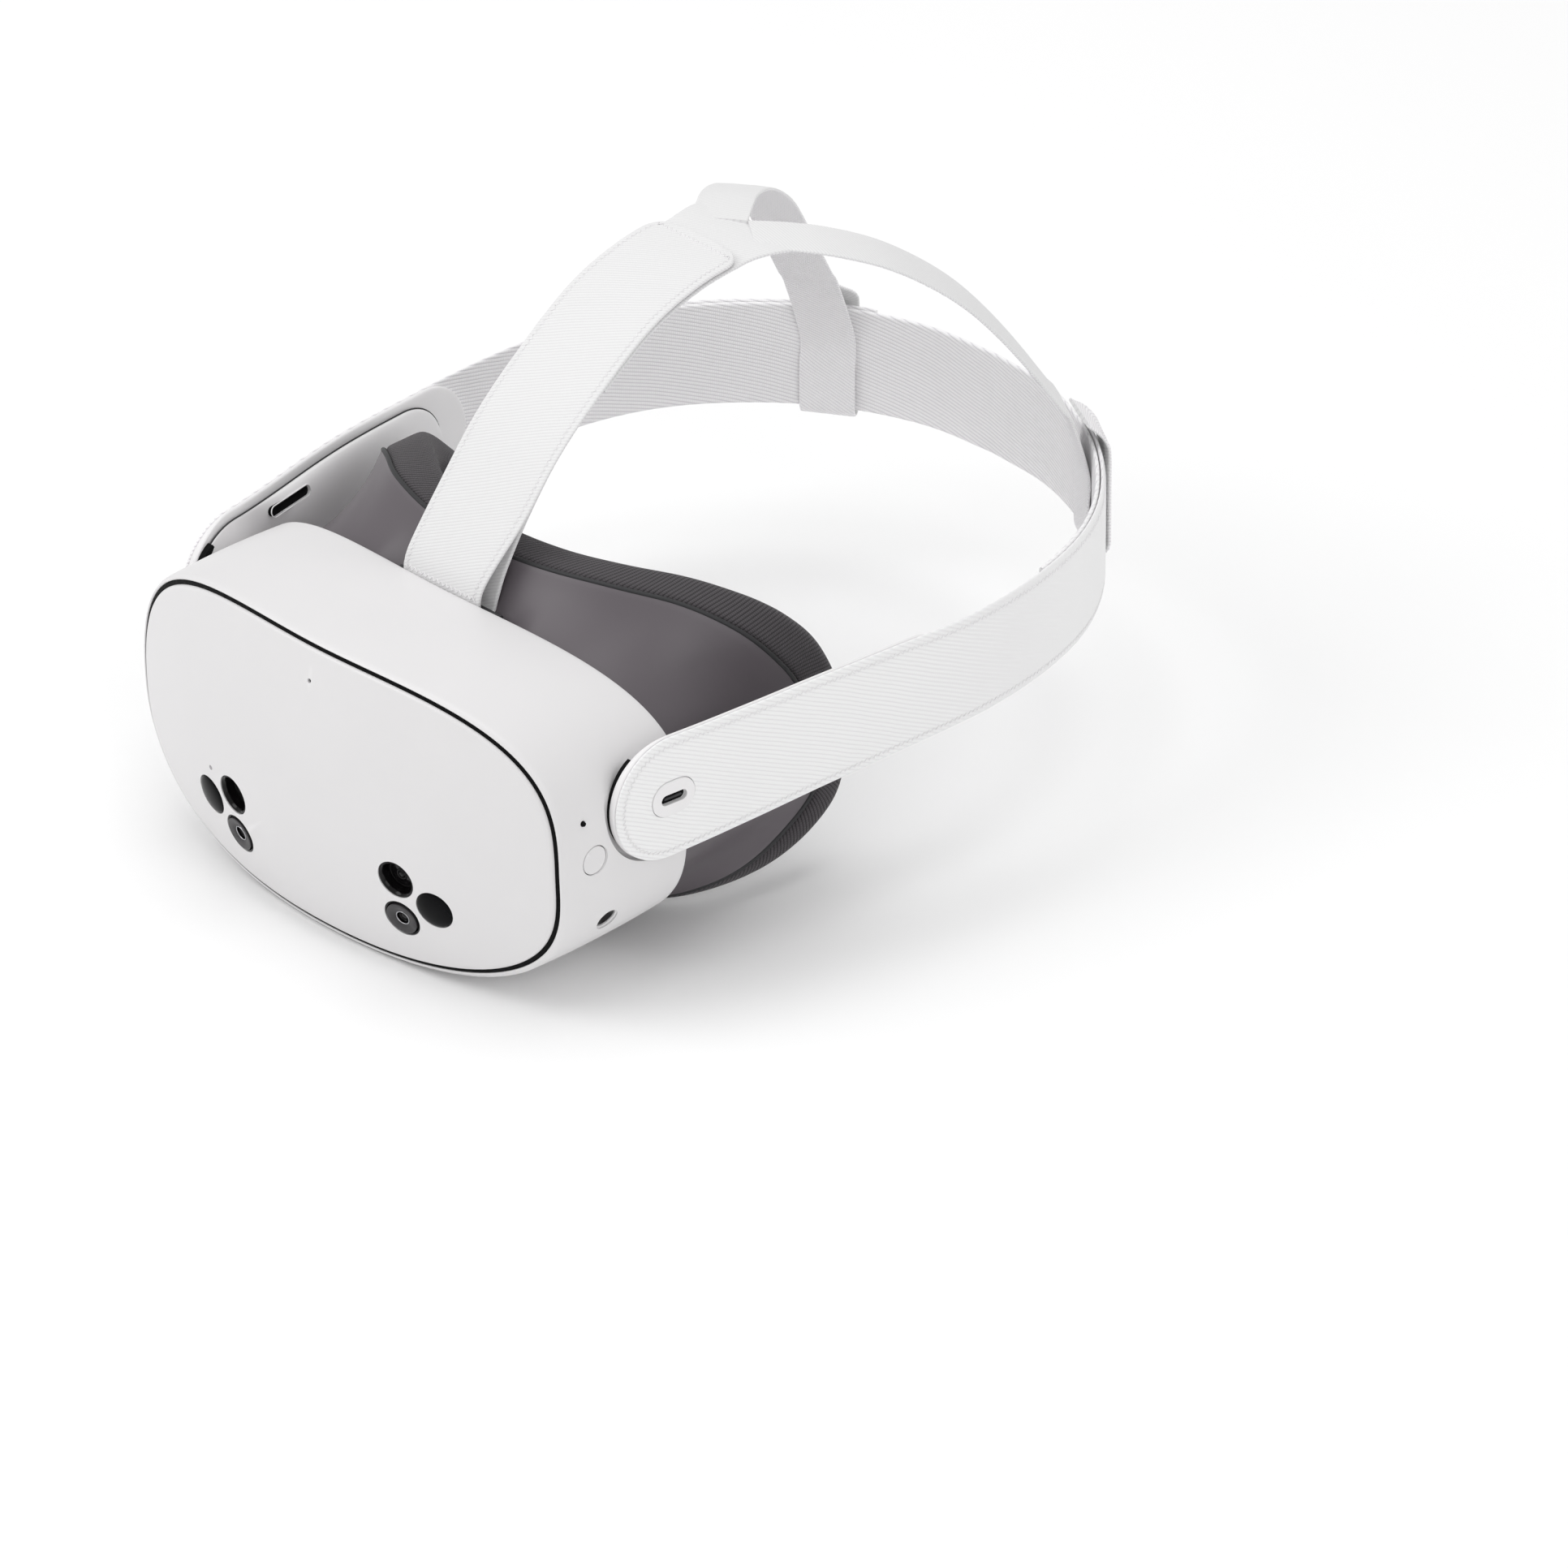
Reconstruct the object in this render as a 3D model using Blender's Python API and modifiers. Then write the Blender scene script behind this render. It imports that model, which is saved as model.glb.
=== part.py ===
"""A standalone VR headset with soft head straps, as an assembly of separate pieces.

Lengths in this file are millimetres. make_mesh() and the modifier helpers turn them into metres.
Coordinates are the visor's own: x to the wearer's left, y backwards from the middle of the
faceplate, z up from the middle of the faceplate. The empty "visor_centre" places them in the world,
with the whole headset centred over the origin and standing on z = 0.
"""

import math

import bmesh
import bpy
from mathutils import Vector

MM = 0.001

# Whole object
TOTAL_DEPTH = 295.0
GROUND = -51.0
GAP = 0.3

# Faceplate: a squarish oval, bent about both axes and leaning back at the bottom
PLATE_HALF_WIDTH = 87.5
PLATE_TOP = 49.6
PLATE_BOTTOM = 47.8
PLATE_POWER_TOP = 3.0
PLATE_POWER_BOTTOM = 2.75
PLATE_THICKNESS = 2.0
PLATE_BEND_X = 0.00231
PLATE_BEND_X4 = 2.1e-8
PLATE_BEND_Z = 0.0033
PLATE_LEAN = math.tan(math.radians(2.85))
SEAL_WIDTH = 0.8
PLATE_STEPS = 48
LIP_GAP = 1.3

# Camera and lamp windows in the faceplate, as (x, z) on the wearer's left
WINDOW_RADIUS = 6.5
TRACKING_WINDOW = (35.0, -15.0)
PASSTHROUGH_WINDOW = (34.9, -29.6)
LAMP_WINDOW = (47.9, -21.7)
MICROPHONE_Z = 40.0

# Housing
REAR_HALF_WIDTH = 91.5
REAR_TOP = 49.0
REAR_BOTTOM = 46.5
REAR_POWER = 3.0
REAR_EDGE_Y = 59.0
REAR_EDGE_BEND = 12.5
SIDE_WALL = 3.4
WALL = 2.5

# Controls on the housing
POWER_BUTTON = (33.3, 3.3)
POWER_BUTTON_RADIUS = 4.6
STATUS_LED = (29.5, 17.1)
SIDE_CAMERA = (87.2, 41.0, -21.4)
SIDE_CAMERA_AXIS = (0.88, 0.0, -0.475)
UNDER_BUTTON = (48.0, 36.0, -46.4)
UNDER_TILT = math.radians(11.3)
ROCKER_LENGTH = 18.0
ROCKER_WIDTH = 5.0

# Strap hinge, on an axis along x
HINGE_Y = 60.0
HINGE_Z = 16.0
HINGE_CAP_RADIUS = 21.3
HINGE_PIN_RADIUS = 6.0
POCKET_FLOOR_X = 88.9

# Optics
LENS_X = 32.0
LENS_RADIUS = 22.6
BARREL_RADIUS = 25.0
BARREL_FRONT_Y = 36.0
BARREL_REAR_Y = 62.0
LENS_TRAVEL = 2.5
RAIL_Z = 29.0
RAIL_Y = 44.0
RAIL_RADIUS = 1.2
PANEL_Y = 51.0

# Side arms and straps: the outer face in plan, from the front of the cap to the middle of the back
STRAP_LINE = [(94.2, 38.5), (96.1, 60.0), (98.9, 80.0), (101.9, 100.0), (104.2, 120.0), (105.8, 140.0),
              (107.9, 175.0), (105.5, 205.0), (98.9, 231.0), (87.7, 252.0), (70.4, 271.0), (50.5, 285.0),
              (26.0, 294.4), (0.0, 296.9)]
STRAP_Z = 15.8
STRAP_RISE = 2.3
STRAP_THICKNESS = 1.6
ARM_DEPTH = 4.2
ARM_REAR_Y = 171.0
COVER_FRONT_Y = 77.0
COVER_REAR_Y = 158.0
LOOP_X = 57.6
LOOP_WIDTH = 17.5
TAIL_WIDTH = 17.5
TOP_WIDTH = 36.0

# Middle line of the top strap, (y, z), and of one rear tail, (x, y, z)
TOP_LINE = [(60.3, 47.8), (63.0, 55.5), (73.0, 69.8), (90.0, 89.5), (109.0, 105.0), (130.0, 117.0), (150.0, 122.6),
            (168.5, 124.0)]
TRUNK_LINE = [(112.0, 104.8), (130.0, 114.7), (150.0, 120.3), (168.5, 121.7), (180.0, 121.3), (191.0, 119.2)]
TAIL_LINE = [(7.0, 183.0, 120.9), (13.5, 191.5, 119.6), (21.3, 201.8, 116.8), (29.2, 215.0, 110.7),
             (35.6, 227.3, 102.0), (41.3, 238.0, 92.0), (46.2, 247.5, 80.0), (50.0, 256.5, 67.0),
             (53.0, 265.5, 53.0), (55.8, 275.6, 39.6)]
HEAD_CENTRE = (0.0, 175.0, 15.0)
TOP_BAR = (62.3, 45.8)

# Facial interface: the outer crest of the face cushion, half of it from the brow to the nose
FACE_LINE = [(0.0, 86.0, 59.3), (22.0, 88.2, 59.6), (41.0, 94.8, 59.4), (55.5, 104.6, 57.2),
             (65.5, 112.0, 53.8), (73.5, 119.8, 48.3), (79.0, 127.8, 40.0), (81.8, 136.5, 28.0), (82.4, 144.5, 10.0),
             (82.2, 147.0, -6.0), (82.0, 142.0, -26.0), (77.5, 120.0, -42.0), (64.0, 95.0, -50.0),
             (44.0, 82.0, -50.7), (26.0, 78.0, -47.0), (12.0, 76.0, -33.0), (0.0, 76.5, -26.0)]
FACE_STATIONS = 44
CUSHION_REAR = 4.5
CUSHION_FRONT = -10.5
JAW_FRONT = -5.0
CUSHION_DEPTH = 15.0
NOSE_DEPTH = 7.5
FRAME_WALL = 2.4
SEAM_GAP = 1.0
FRAME_INSET = 2.4
FRAME_FRONT = (86.2, 42.4, 42.4)
STRAP_RECESS = 6.0


# ---------------------------------------------------------------- helpers

def clear_scene():
    for old in list(bpy.data.objects):
        bpy.data.objects.remove(old, do_unlink=True)


def make_collection(name, hidden):
    made = bpy.data.collections.new(name)
    made.hide_render = hidden
    bpy.context.scene.collection.children.link(made)
    return made


def make_material(name, colour, roughness, metallic=0.0):
    made = bpy.data.materials.new(name)
    made.use_nodes = True
    shader = made.node_tree.nodes["Principled BSDF"]
    shader.inputs["Base Color"].default_value = (*colour, 1.0)
    shader.inputs["Roughness"].default_value = roughness
    shader.inputs["Metallic"].default_value = metallic
    return made


clear_scene()
PARTS = make_collection("vr_headset", False)
CUTTERS = make_collection("cutters", True)
SHELL_WHITE = make_material("shell_white", (0.80, 0.79, 0.79), 0.42)
STRAP_WHITE = make_material("strap_white", (0.82, 0.82, 0.82), 0.90)
FRAME_GREY = make_material("frame_grey", (0.135, 0.120, 0.130), 0.45)
CUSHION_DARK = make_material("cushion_dark", (0.048, 0.044, 0.048), 0.92)
GLOSS_BLACK = make_material("gloss_black", (0.010, 0.010, 0.012), 0.12)
SOFT_BLACK = make_material("soft_black", (0.020, 0.020, 0.022), 0.65)
LENS_CLEAR = make_material("lens_clear", (0.55, 0.60, 0.66), 0.08)
BOARD_GREEN = make_material("board_green", (0.020, 0.110, 0.060), 0.45)
STEEL = make_material("steel", (0.56, 0.56, 0.58), 0.30, 1.0)
ALUMINIUM = make_material("aluminium", (0.72, 0.73, 0.75), 0.35, 1.0)
BATTERY_FOIL = make_material("battery_foil", (0.10, 0.10, 0.11), 0.40)

CENTRE = bpy.data.objects.new("visor_centre", None)
CENTRE.location = (0.0, -TOTAL_DEPTH / 2 * MM, -GROUND * MM)
PARTS.objects.link(CENTRE)
bpy.context.view_layer.update()


def add_object(name, mesh, material, at=(0.0, 0.0, 0.0), axis=None):
    """A node, or a cutter where material is None. at is its origin, and axis is where its own +z points."""
    made = bpy.data.objects.new(name, mesh)
    made.parent = CENTRE
    made.location = Vector(at) * MM
    if axis is not None:
        made.rotation_mode = "QUATERNION"
        made.rotation_quaternion = Vector((0.0, 0.0, 1.0)).rotation_difference(Vector(axis))
    if material is None:
        made.hide_render = True
        made.display_type = "WIRE"
        CUTTERS.objects.link(made)
    else:
        mesh.materials.append(material)
        PARTS.objects.link(made)
    return made


def finish_mesh(name, shape):
    """A bmesh in millimetres as a mesh in metres, with smooth faces and sharp edges."""
    bmesh.ops.scale(shape, vec=(MM, MM, MM), verts=shape.verts)
    bmesh.ops.recalc_face_normals(shape, faces=shape.faces)
    mesh = bpy.data.meshes.new(name)
    shape.to_mesh(mesh)
    shape.free()
    mesh.shade_smooth()
    mesh.set_sharp_from_angle(angle=math.radians(35))
    return mesh


def box_mesh(name, size, bevel=0.0):
    shape = bmesh.new()
    bmesh.ops.create_cube(shape, size=1.0)
    bmesh.ops.scale(shape, vec=size, verts=shape.verts)
    if bevel:
        bmesh.ops.bevel(shape, geom=shape.edges, offset=bevel, segments=2, affect="EDGES", profile=0.5)
    return finish_mesh(name, shape)


def cylinder_mesh(name, radius, depth, segments=24):
    shape = bmesh.new()
    bmesh.ops.create_cone(shape, cap_ends=True, segments=segments, radius1=radius, radius2=radius, depth=depth)
    return finish_mesh(name, shape)


def pill_mesh(name, length, width, depth, segments=8):
    """A flat bar along x with round ends, extruded along z."""
    shape = bmesh.new()
    radius = width / 2
    reach = length / 2 - radius
    ring = []
    for side in (1, -1):
        for step in range(segments + 1):
            turn = -math.pi / 2 + math.pi * step / segments + (0 if side > 0 else math.pi)
            ring.append((side * reach + radius * math.cos(turn), radius * math.sin(turn), -depth / 2))
    base = shape.faces.new([shape.verts.new(point) for point in ring])
    made = bmesh.ops.extrude_face_region(shape, geom=[base])
    top = [item for item in made["geom"] if isinstance(item, bmesh.types.BMVert)]
    bmesh.ops.translate(shape, vec=(0.0, 0.0, depth), verts=top)
    return finish_mesh(name, shape)


def loft_mesh(name, loops, wrap):
    """Closed loops of equal point count, joined in order. Without wrap, the first and last are capped."""
    shape = bmesh.new()
    rows = [[shape.verts.new(point) for point in loop] for loop in loops]
    pairs = list(zip(rows, rows[1:]))
    if wrap:
        pairs.append((rows[-1], rows[0]))
    for one, other in pairs:
        for i in range(len(one)):
            j = (i + 1) % len(one)
            shape.faces.new((one[i], one[j], other[j], other[i]))
    if not wrap:
        shape.faces.new(rows[0])
        shape.faces.new(rows[-1])
    return finish_mesh(name, shape)


def turned(name, profile, at, axis, material, steps=20):
    """A turned piece: (radius, height) from the top of its axis down its outer side."""
    mesh = bpy.data.meshes.new(name)
    points = [(radius * MM, 0.0, height * MM) for radius, height in profile]
    mesh.from_pydata(points, [(i, i + 1) for i in range(len(points) - 1)], [])
    made = add_object(name, mesh, material, at, axis)
    screw = made.modifiers.new("turn", "SCREW")
    screw.steps = steps
    screw.render_steps = steps
    screw.use_merge_vertices = True
    screw.merge_threshold = 0.00001
    return made


def boolean(target, tool, operation="DIFFERENCE"):
    step = target.modifiers.new(tool.name, "BOOLEAN")
    step.operation = operation
    step.solver = "EXACT"
    step.object = tool


def cut_cylinder(target, name, at, axis, radius, depth, segments=24):
    boolean(target, add_object(name, cylinder_mesh(name, radius, depth, segments), None, at, axis))


def cut_box(target, name, at, size, bevel=0.0):
    boolean(target, add_object(name, box_mesh(name, size, bevel), None, at))


def join_box(target, name, at, size):
    boolean(target, add_object(name, box_mesh(name, size), None, at), "UNION")


def smooth_line(points, count):
    """Evenly spaced points on a Catmull-Rom curve through the given ones."""
    points = [Vector(point) for point in points]
    ends = [2 * points[0] - points[1], *points, 2 * points[-1] - points[-2]]
    fine = []
    for before, start, end, after in zip(ends, ends[1:], ends[2:], ends[3:]):
        for step in range(12):
            t = step / 12
            fine.append(0.5 * (2 * start + (end - before) * t + (2 * before - 5 * start + 4 * end - after) * t * t
                               + (3 * start - 3 * end + after - before) * t ** 3))
    fine.append(points[-1])
    return spaced(fine, count)


def spaced(fine, count):
    """Evenly spaced points along a line of many short steps."""
    run = [0.0]
    for one, other in zip(fine, fine[1:]):
        run.append(run[-1] + (other - one).length)
    line = []
    at = 0
    for step in range(count):
        want = run[-1] * step / (count - 1)
        while at < len(run) - 2 and run[at + 1] < want:
            at += 1
        part = (want - run[at]) / (run[at + 1] - run[at])
        line.append(fine[at].lerp(fine[at + 1], part))
    return line


def tangents(line):
    last = len(line) - 1
    return [(line[min(i + 1, last)] - line[max(i - 1, 0)]).normalized() for i in range(len(line))]


def ribbon_mesh(name, line, outwards, widths, thickness):
    """A strap: centre points of its outer face, outward directions, and full widths."""
    loops = []
    for point, tangent, outward, width in zip(line, tangents(line), outwards, widths):
        across = tangent.cross(outward).normalized() * width / 2
        depth = outward * thickness
        loops.append([point + across, point - across, point - across - depth, point + across - depth])
    return loft_mesh(name, loops, False)


# ---------------------------------------------------------------- visor shapes

def oval(angle, half_width, top, bottom, power_top, power_bottom):
    """Point (x, z) of a squarish oval."""
    along, up = math.cos(angle), math.sin(angle)
    power, height = (power_top, top) if up > 0 else (power_bottom, bottom)
    x = half_width * math.copysign(abs(along) ** (2 / power), along)
    z = height * math.copysign(abs(up) ** (2 / power), up)
    return x, z


def angles(count):
    return [2 * math.pi * step / count for step in range(count)]


def plate_oval(angle, grow=0.0):
    return oval(angle, PLATE_HALF_WIDTH + grow, PLATE_TOP + grow, PLATE_BOTTOM + grow,
                PLATE_POWER_TOP, PLATE_POWER_BOTTOM)


def plate_y(x, z):
    return PLATE_BEND_X * x * x + PLATE_BEND_X4 * x ** 4 + PLATE_BEND_Z * z * z - PLATE_LEAN * z


def rear_edge_y(x):
    return REAR_EDGE_Y + REAR_EDGE_BEND * (x / REAR_HALF_WIDTH) ** 2


def rear_oval(angle, side=0.0, height=0.0):
    return oval(angle, REAR_HALF_WIDTH - side, REAR_TOP - height, REAR_BOTTOM - height, REAR_POWER, REAR_POWER)


def housing_point(angle, part, side=0.0, height=0.0):
    """A point on the housing's wall: part runs from 0 at the front lip to 1 at the rear edge."""
    front_x, front_z = oval(angle, PLATE_HALF_WIDTH + 2.7 - side, PLATE_TOP + 2.6 - height,
                            PLATE_BOTTOM + 3.4 - height, PLATE_POWER_TOP, PLATE_POWER_BOTTOM)
    rear_x, rear_z = rear_oval(angle, side, height)
    swell = 4 * part * (1 - part)
    x = front_x + (rear_x - front_x) * part + math.copysign(0.5, front_x) * swell * abs(math.cos(angle))
    z = front_z + (rear_z - front_z) * part ** 2
    front_y = plate_y(front_x, front_z) + 1.8
    y = front_y + (rear_edge_y(x) - front_y) * part
    return Vector((x, y, max(z, GROUND + height)))


def make_front_plate():
    shape = bmesh.new()
    rings = []
    for size in (0.4, 0.75, 1.0):
        ring = []
        for angle in angles(PLATE_STEPS):
            x, z = plate_oval(angle)
            ring.append(shape.verts.new((x * size, plate_y(x * size, z * size), z * size)))
        rings.append(ring)
    middle = shape.verts.new((0.0, 0.0, 0.0))
    for i in range(PLATE_STEPS):
        shape.faces.new((middle, rings[0][i], rings[0][i - 1]))
        for inner, outer in zip(rings, rings[1:]):
            shape.faces.new((inner[i], outer[i], outer[i - 1], inner[i - 1]))
    mesh = finish_mesh("front_plate", shape)
    if mesh.polygons[0].normal.y > 0:
        mesh.flip_normals()
    plate = add_object("front_plate", mesh, SHELL_WHITE)
    shell = plate.modifiers.new("thickness", "SOLIDIFY")
    shell.thickness = PLATE_THICKNESS * MM
    shell.offset = -1.0
    for side in (1, -1):
        for x, z in (TRACKING_WINDOW, PASSTHROUGH_WINDOW, LAMP_WINDOW):
            cut_cylinder(plate, "cut_window", (side * x, 5.0, z), (0, 1, 0), WINDOW_RADIUS, 30.0)
    cut_cylinder(plate, "cut_microphone", (0.0, 2.0, MICROPHONE_Z), (0, 1, 0), 0.9, 20.0, 12)


def make_gap_seal():
    """The dark seal in the slot between the faceplate and the housing's lip."""
    loops = []
    for angle in angles(PLATE_STEPS):
        loop = []
        for grow, back in ((GAP, 1.2), (GAP + SEAL_WIDTH, 1.2), (GAP + SEAL_WIDTH, 4.2), (GAP, 4.2)):
            x, z = plate_oval(angle, grow)
            loop.append((x, plate_y(x, z) + back, z))
        loops.append(loop)
    add_object("gap_seal", loft_mesh("gap_seal", loops, True), SOFT_BLACK)


def make_main_housing():
    loops = []
    for angle in angles(PLATE_STEPS):
        lip = []
        for grow, back in ((LIP_GAP, 5.6), (LIP_GAP, 0.9), (LIP_GAP + 0.5, 0.3)):
            x, z = plate_oval(angle, grow)
            lip.append(Vector((x, plate_y(x, z) + back, z)))
        outer = [housing_point(angle, part) for part in (0.0, 0.22, 0.5, 0.78, 1.0)]
        inner = [housing_point(angle, part, SIDE_WALL, WALL) for part in (1.0, 0.6, 0.2)]
        inner[0].y = outer[-1].y
        loops.append(lip + outer + inner)
    housing = add_object("main_housing", loft_mesh("main_housing", loops, True), SHELL_WHITE)
    for side in (1, -1):
        across = (side, 0, 0)
        cut_cylinder(housing, "cut_pocket", (side * (POCKET_FLOOR_X + 10), HINGE_Y, HINGE_Z), across, 23.6, 20.0, 36)
        cut_cylinder(housing, "cut_pin", (side * 88, HINGE_Y, HINGE_Z), across, HINGE_PIN_RADIUS + GAP, 20.0)
        x, y, z = SIDE_CAMERA
        axis = (side * SIDE_CAMERA_AXIS[0], 0.0, SIDE_CAMERA_AXIS[2])
        cut_cylinder(housing, "cut_side_camera", (side * x, y, z), axis, 3.7, 16.0, 20)
    y, z = POWER_BUTTON
    cut_cylinder(housing, "cut_power", (88.0, y, z), (1, 0, 0), POWER_BUTTON_RADIUS + GAP, 16.0)
    y, z = STATUS_LED
    cut_cylinder(housing, "cut_led", (88.0, y, z), (1, 0, 0), 1.0, 16.0, 12)
    for side in (1, -1):
        length = ROCKER_LENGTH if side > 0 else 10.0
        mesh = pill_mesh("cut_under", length + 0.9, ROCKER_WIDTH + 0.9, 12.0)
        hole = add_object("cut_under", mesh, None, (side * UNDER_BUTTON[0], *UNDER_BUTTON[1:]))
        hole.rotation_euler.y = -side * UNDER_TILT
        boolean(housing, hole)


def make_top_bar():
    """The bar on two lugs behind the housing's top edge, which the top strap loops round."""
    y, z = TOP_BAR
    bar = add_object("top_strap_bar", cylinder_mesh("top_strap_bar", 1.1, TOP_WIDTH + 7.0, 14), SOFT_BLACK,
                     (0.0, y, z), (1, 0, 0))
    for side in (1, -1):
        join_box(bar, "join_lug", (side * (TOP_WIDTH / 2 + 2.4), y - 3.6, z - 0.9), (2.2, 8.2, 1.4))


# ---------------------------------------------------------------- cameras, lamps and controls

def make_front_sensors():
    recessed = [(0.0, 4.6), (1.9, 4.2), (2.6, 3.4), (4.4, 3.4), (5.2, 5.0), (6.1, 5.6), (6.1, -3.0), (0.0, -3.0)]
    conical = [(0.0, 4.2), (1.6, 3.9), (2.2, 3.3), (3.0, 3.6), (5.4, 5.2), (6.1, 5.4), (6.1, -3.0), (0.0, -3.0)]
    domed = [(0.0, 7.6), (2.4, 7.3), (4.4, 6.4), (5.7, 5.0), (6.1, 3.6), (6.1, -3.0), (0.0, -3.0)]
    groups = (("tracking_camera", TRACKING_WINDOW, recessed), ("passthrough_camera", PASSTHROUGH_WINDOW, conical),
              ("ir_illuminator", LAMP_WINDOW, domed))
    for name, (x, z), profile in groups:
        for side, word in ((1, "left"), (-1, "right")):
            at = (side * x, plate_y(x, z) + 6.4, z)
            turned(f"{name}_{word}", profile, at, (0, -1, 0), GLOSS_BLACK)


def make_side_cameras():
    profile = [(0.0, 1.2), (1.2, 1.0), (1.8, 0.4), (2.7, 1.4), (3.3, 1.9), (3.3, -4.5), (0.0, -4.5)]
    x, y, z = SIDE_CAMERA
    for side, word in ((1, "left"), (-1, "right")):
        axis = (side * SIDE_CAMERA_AXIS[0], 0.0, SIDE_CAMERA_AXIS[2])
        turned(f"side_camera_{word}", profile, (side * (x - 1.6), y, z + 0.9), axis, GLOSS_BLACK, 16)


def make_controls():
    y, z = POWER_BUTTON
    cap = [(0.0, 2.1), (3.9, 2.05), (POWER_BUTTON_RADIUS, 1.5), (POWER_BUTTON_RADIUS, -2.0), (0.0, -2.0)]
    turned("power_button", cap, (88.8, y, z), (1, 0, 0), SHELL_WHITE)
    y, z = STATUS_LED
    add_object("status_led", cylinder_mesh("status_led", 0.7, 4.0, 12), GLOSS_BLACK, (87.5, y, z), (1, 0, 0))
    for side, name, length in ((1, "volume_rocker", ROCKER_LENGTH), (-1, "action_button", 10.0)):
        mesh = pill_mesh(name, length, ROCKER_WIDTH, 3.4)
        button = add_object(name, mesh, SHELL_WHITE, (side * UNDER_BUTTON[0], *UNDER_BUTTON[1:]))
        button.rotation_euler.y = -side * UNDER_TILT
    add_object("proximity_sensor", pill_mesh("proximity_sensor", 7.0, 3.4, 2.4), GLOSS_BLACK,
               (0.0, PANEL_Y + 2.6, 24.0), (0, 1, 0))


# ---------------------------------------------------------------- electronics and optics

def make_electronics():
    battery = box_mesh("battery_pack", (68.0, 7.4, 33.0), 1.2)
    add_object("battery_pack", battery, BATTERY_FOIL, (0.0, 12.9, 22.5))
    fan_z = -22.0
    housing = add_object("fan_housing", box_mesh("fan_housing", (40.0, 6.0, 36.0), 1.0), SOFT_BLACK, (0.0, 13.6, fan_z))
    cut_cylinder(housing, "cut_fan", (0.0, 10.5, fan_z), (0, 1, 0), 16.2, 10.0, 32)
    make_fan_rotor(fan_z)
    sink = add_object("heat_sink", box_mesh("heat_sink", (116.0, 1.6, 68.0)), ALUMINIUM, (0.0, 18.4, 0.0))
    for step in range(9):
        join_box(sink, "join_fin", (-48.0 + 12.0 * step, 20.0, 0.0), (2.0, 2.4, 60.0))
    board = add_object("main_board", box_mesh("main_board", (120.0, 1.2, 72.0)), BOARD_GREEN, (0.0, 23.0, 0.0))
    for x, z, width, height in ((0.0, 8.0, 16.0, 16.0), (26.0, 10.0, 12.0, 10.0), (-28.0, -12.0, 14.0, 9.0),
                                (24.0, -20.0, 18.0, 8.0)):
        join_box(board, "join_chip", (x, 24.0, z), (width, 1.8, height))


def make_fan_rotor(fan_z):
    rotor = add_object("fan_rotor", cylinder_mesh("fan_rotor", 6.0, 3.6), SOFT_BLACK, (0.0, 12.2, fan_z), (0, -1, 0))
    for blade in range(9):
        turn = 2 * math.pi * blade / 9
        mesh = box_mesh("join_blade", (10.5, 0.9, 3.0))
        tool = add_object("join_blade", mesh, None)
        tool.parent = rotor
        tool.location = Vector((10.2 * math.cos(turn), 10.2 * math.sin(turn), 0.0)) * MM
        tool.rotation_euler.z = turn + math.radians(18)
        boolean(rotor, tool, "UNION")


def make_display():
    frame = add_object("display_frame", box_mesh("display_frame", (136.0, 5.0, 74.0), 1.0), SOFT_BLACK,
                       (0.0, 30.0, 0.0))
    cut_box(frame, "cut_frame", (0.0, 30.0, 0.0), (122.0, 12.0, 66.0))
    add_object("display_panel", box_mesh("display_panel", (121.2, 1.6, 65.2)), GLOSS_BLACK, (0.0, 30.6, 0.0))


def make_lens_panel():
    """The black wall behind the optics, with a slot for each lens barrel."""
    loops = []
    for y in (PANEL_Y - 1.0, PANEL_Y + 1.0):
        ring = [oval(angle, 86.6, 45.4, 43.2, REAR_POWER, REAR_POWER) for angle in angles(48)]
        loops.append([(x, y, z) for x, z in ring])
    panel = add_object("lens_panel", loft_mesh("lens_panel", loops, False), SOFT_BLACK)
    radius = BARREL_RADIUS + 0.7
    for side in (1, -1):
        mesh = pill_mesh("cut_barrel", 2 * (radius + LENS_TRAVEL + 0.2), 2 * radius, 12.0, 16)
        boolean(panel, add_object("cut_barrel", mesh, None, (side * LENS_X, PANEL_Y, 0.0), (0, 1, 0)))
        for up in (1, -1):
            at = (side * 66.0, PANEL_Y, up * 33.0)
            cut_cylinder(panel, "cut_screw", at, (0, 1, 0), 1.5, 12.0, 16)
    screw = [(0.0, 1.9), (1.9, 1.7), (2.3, 1.3), (1.2, 1.3), (1.2, -7.0), (0.0, -7.0)]
    number = 0
    for side in (1, -1):
        for up in (1, -1):
            number += 1
            turned(f"panel_screw_{number}", screw, (side * 66.0, PANEL_Y, up * 33.0), (0, 1, 0), STEEL, 16)


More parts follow.
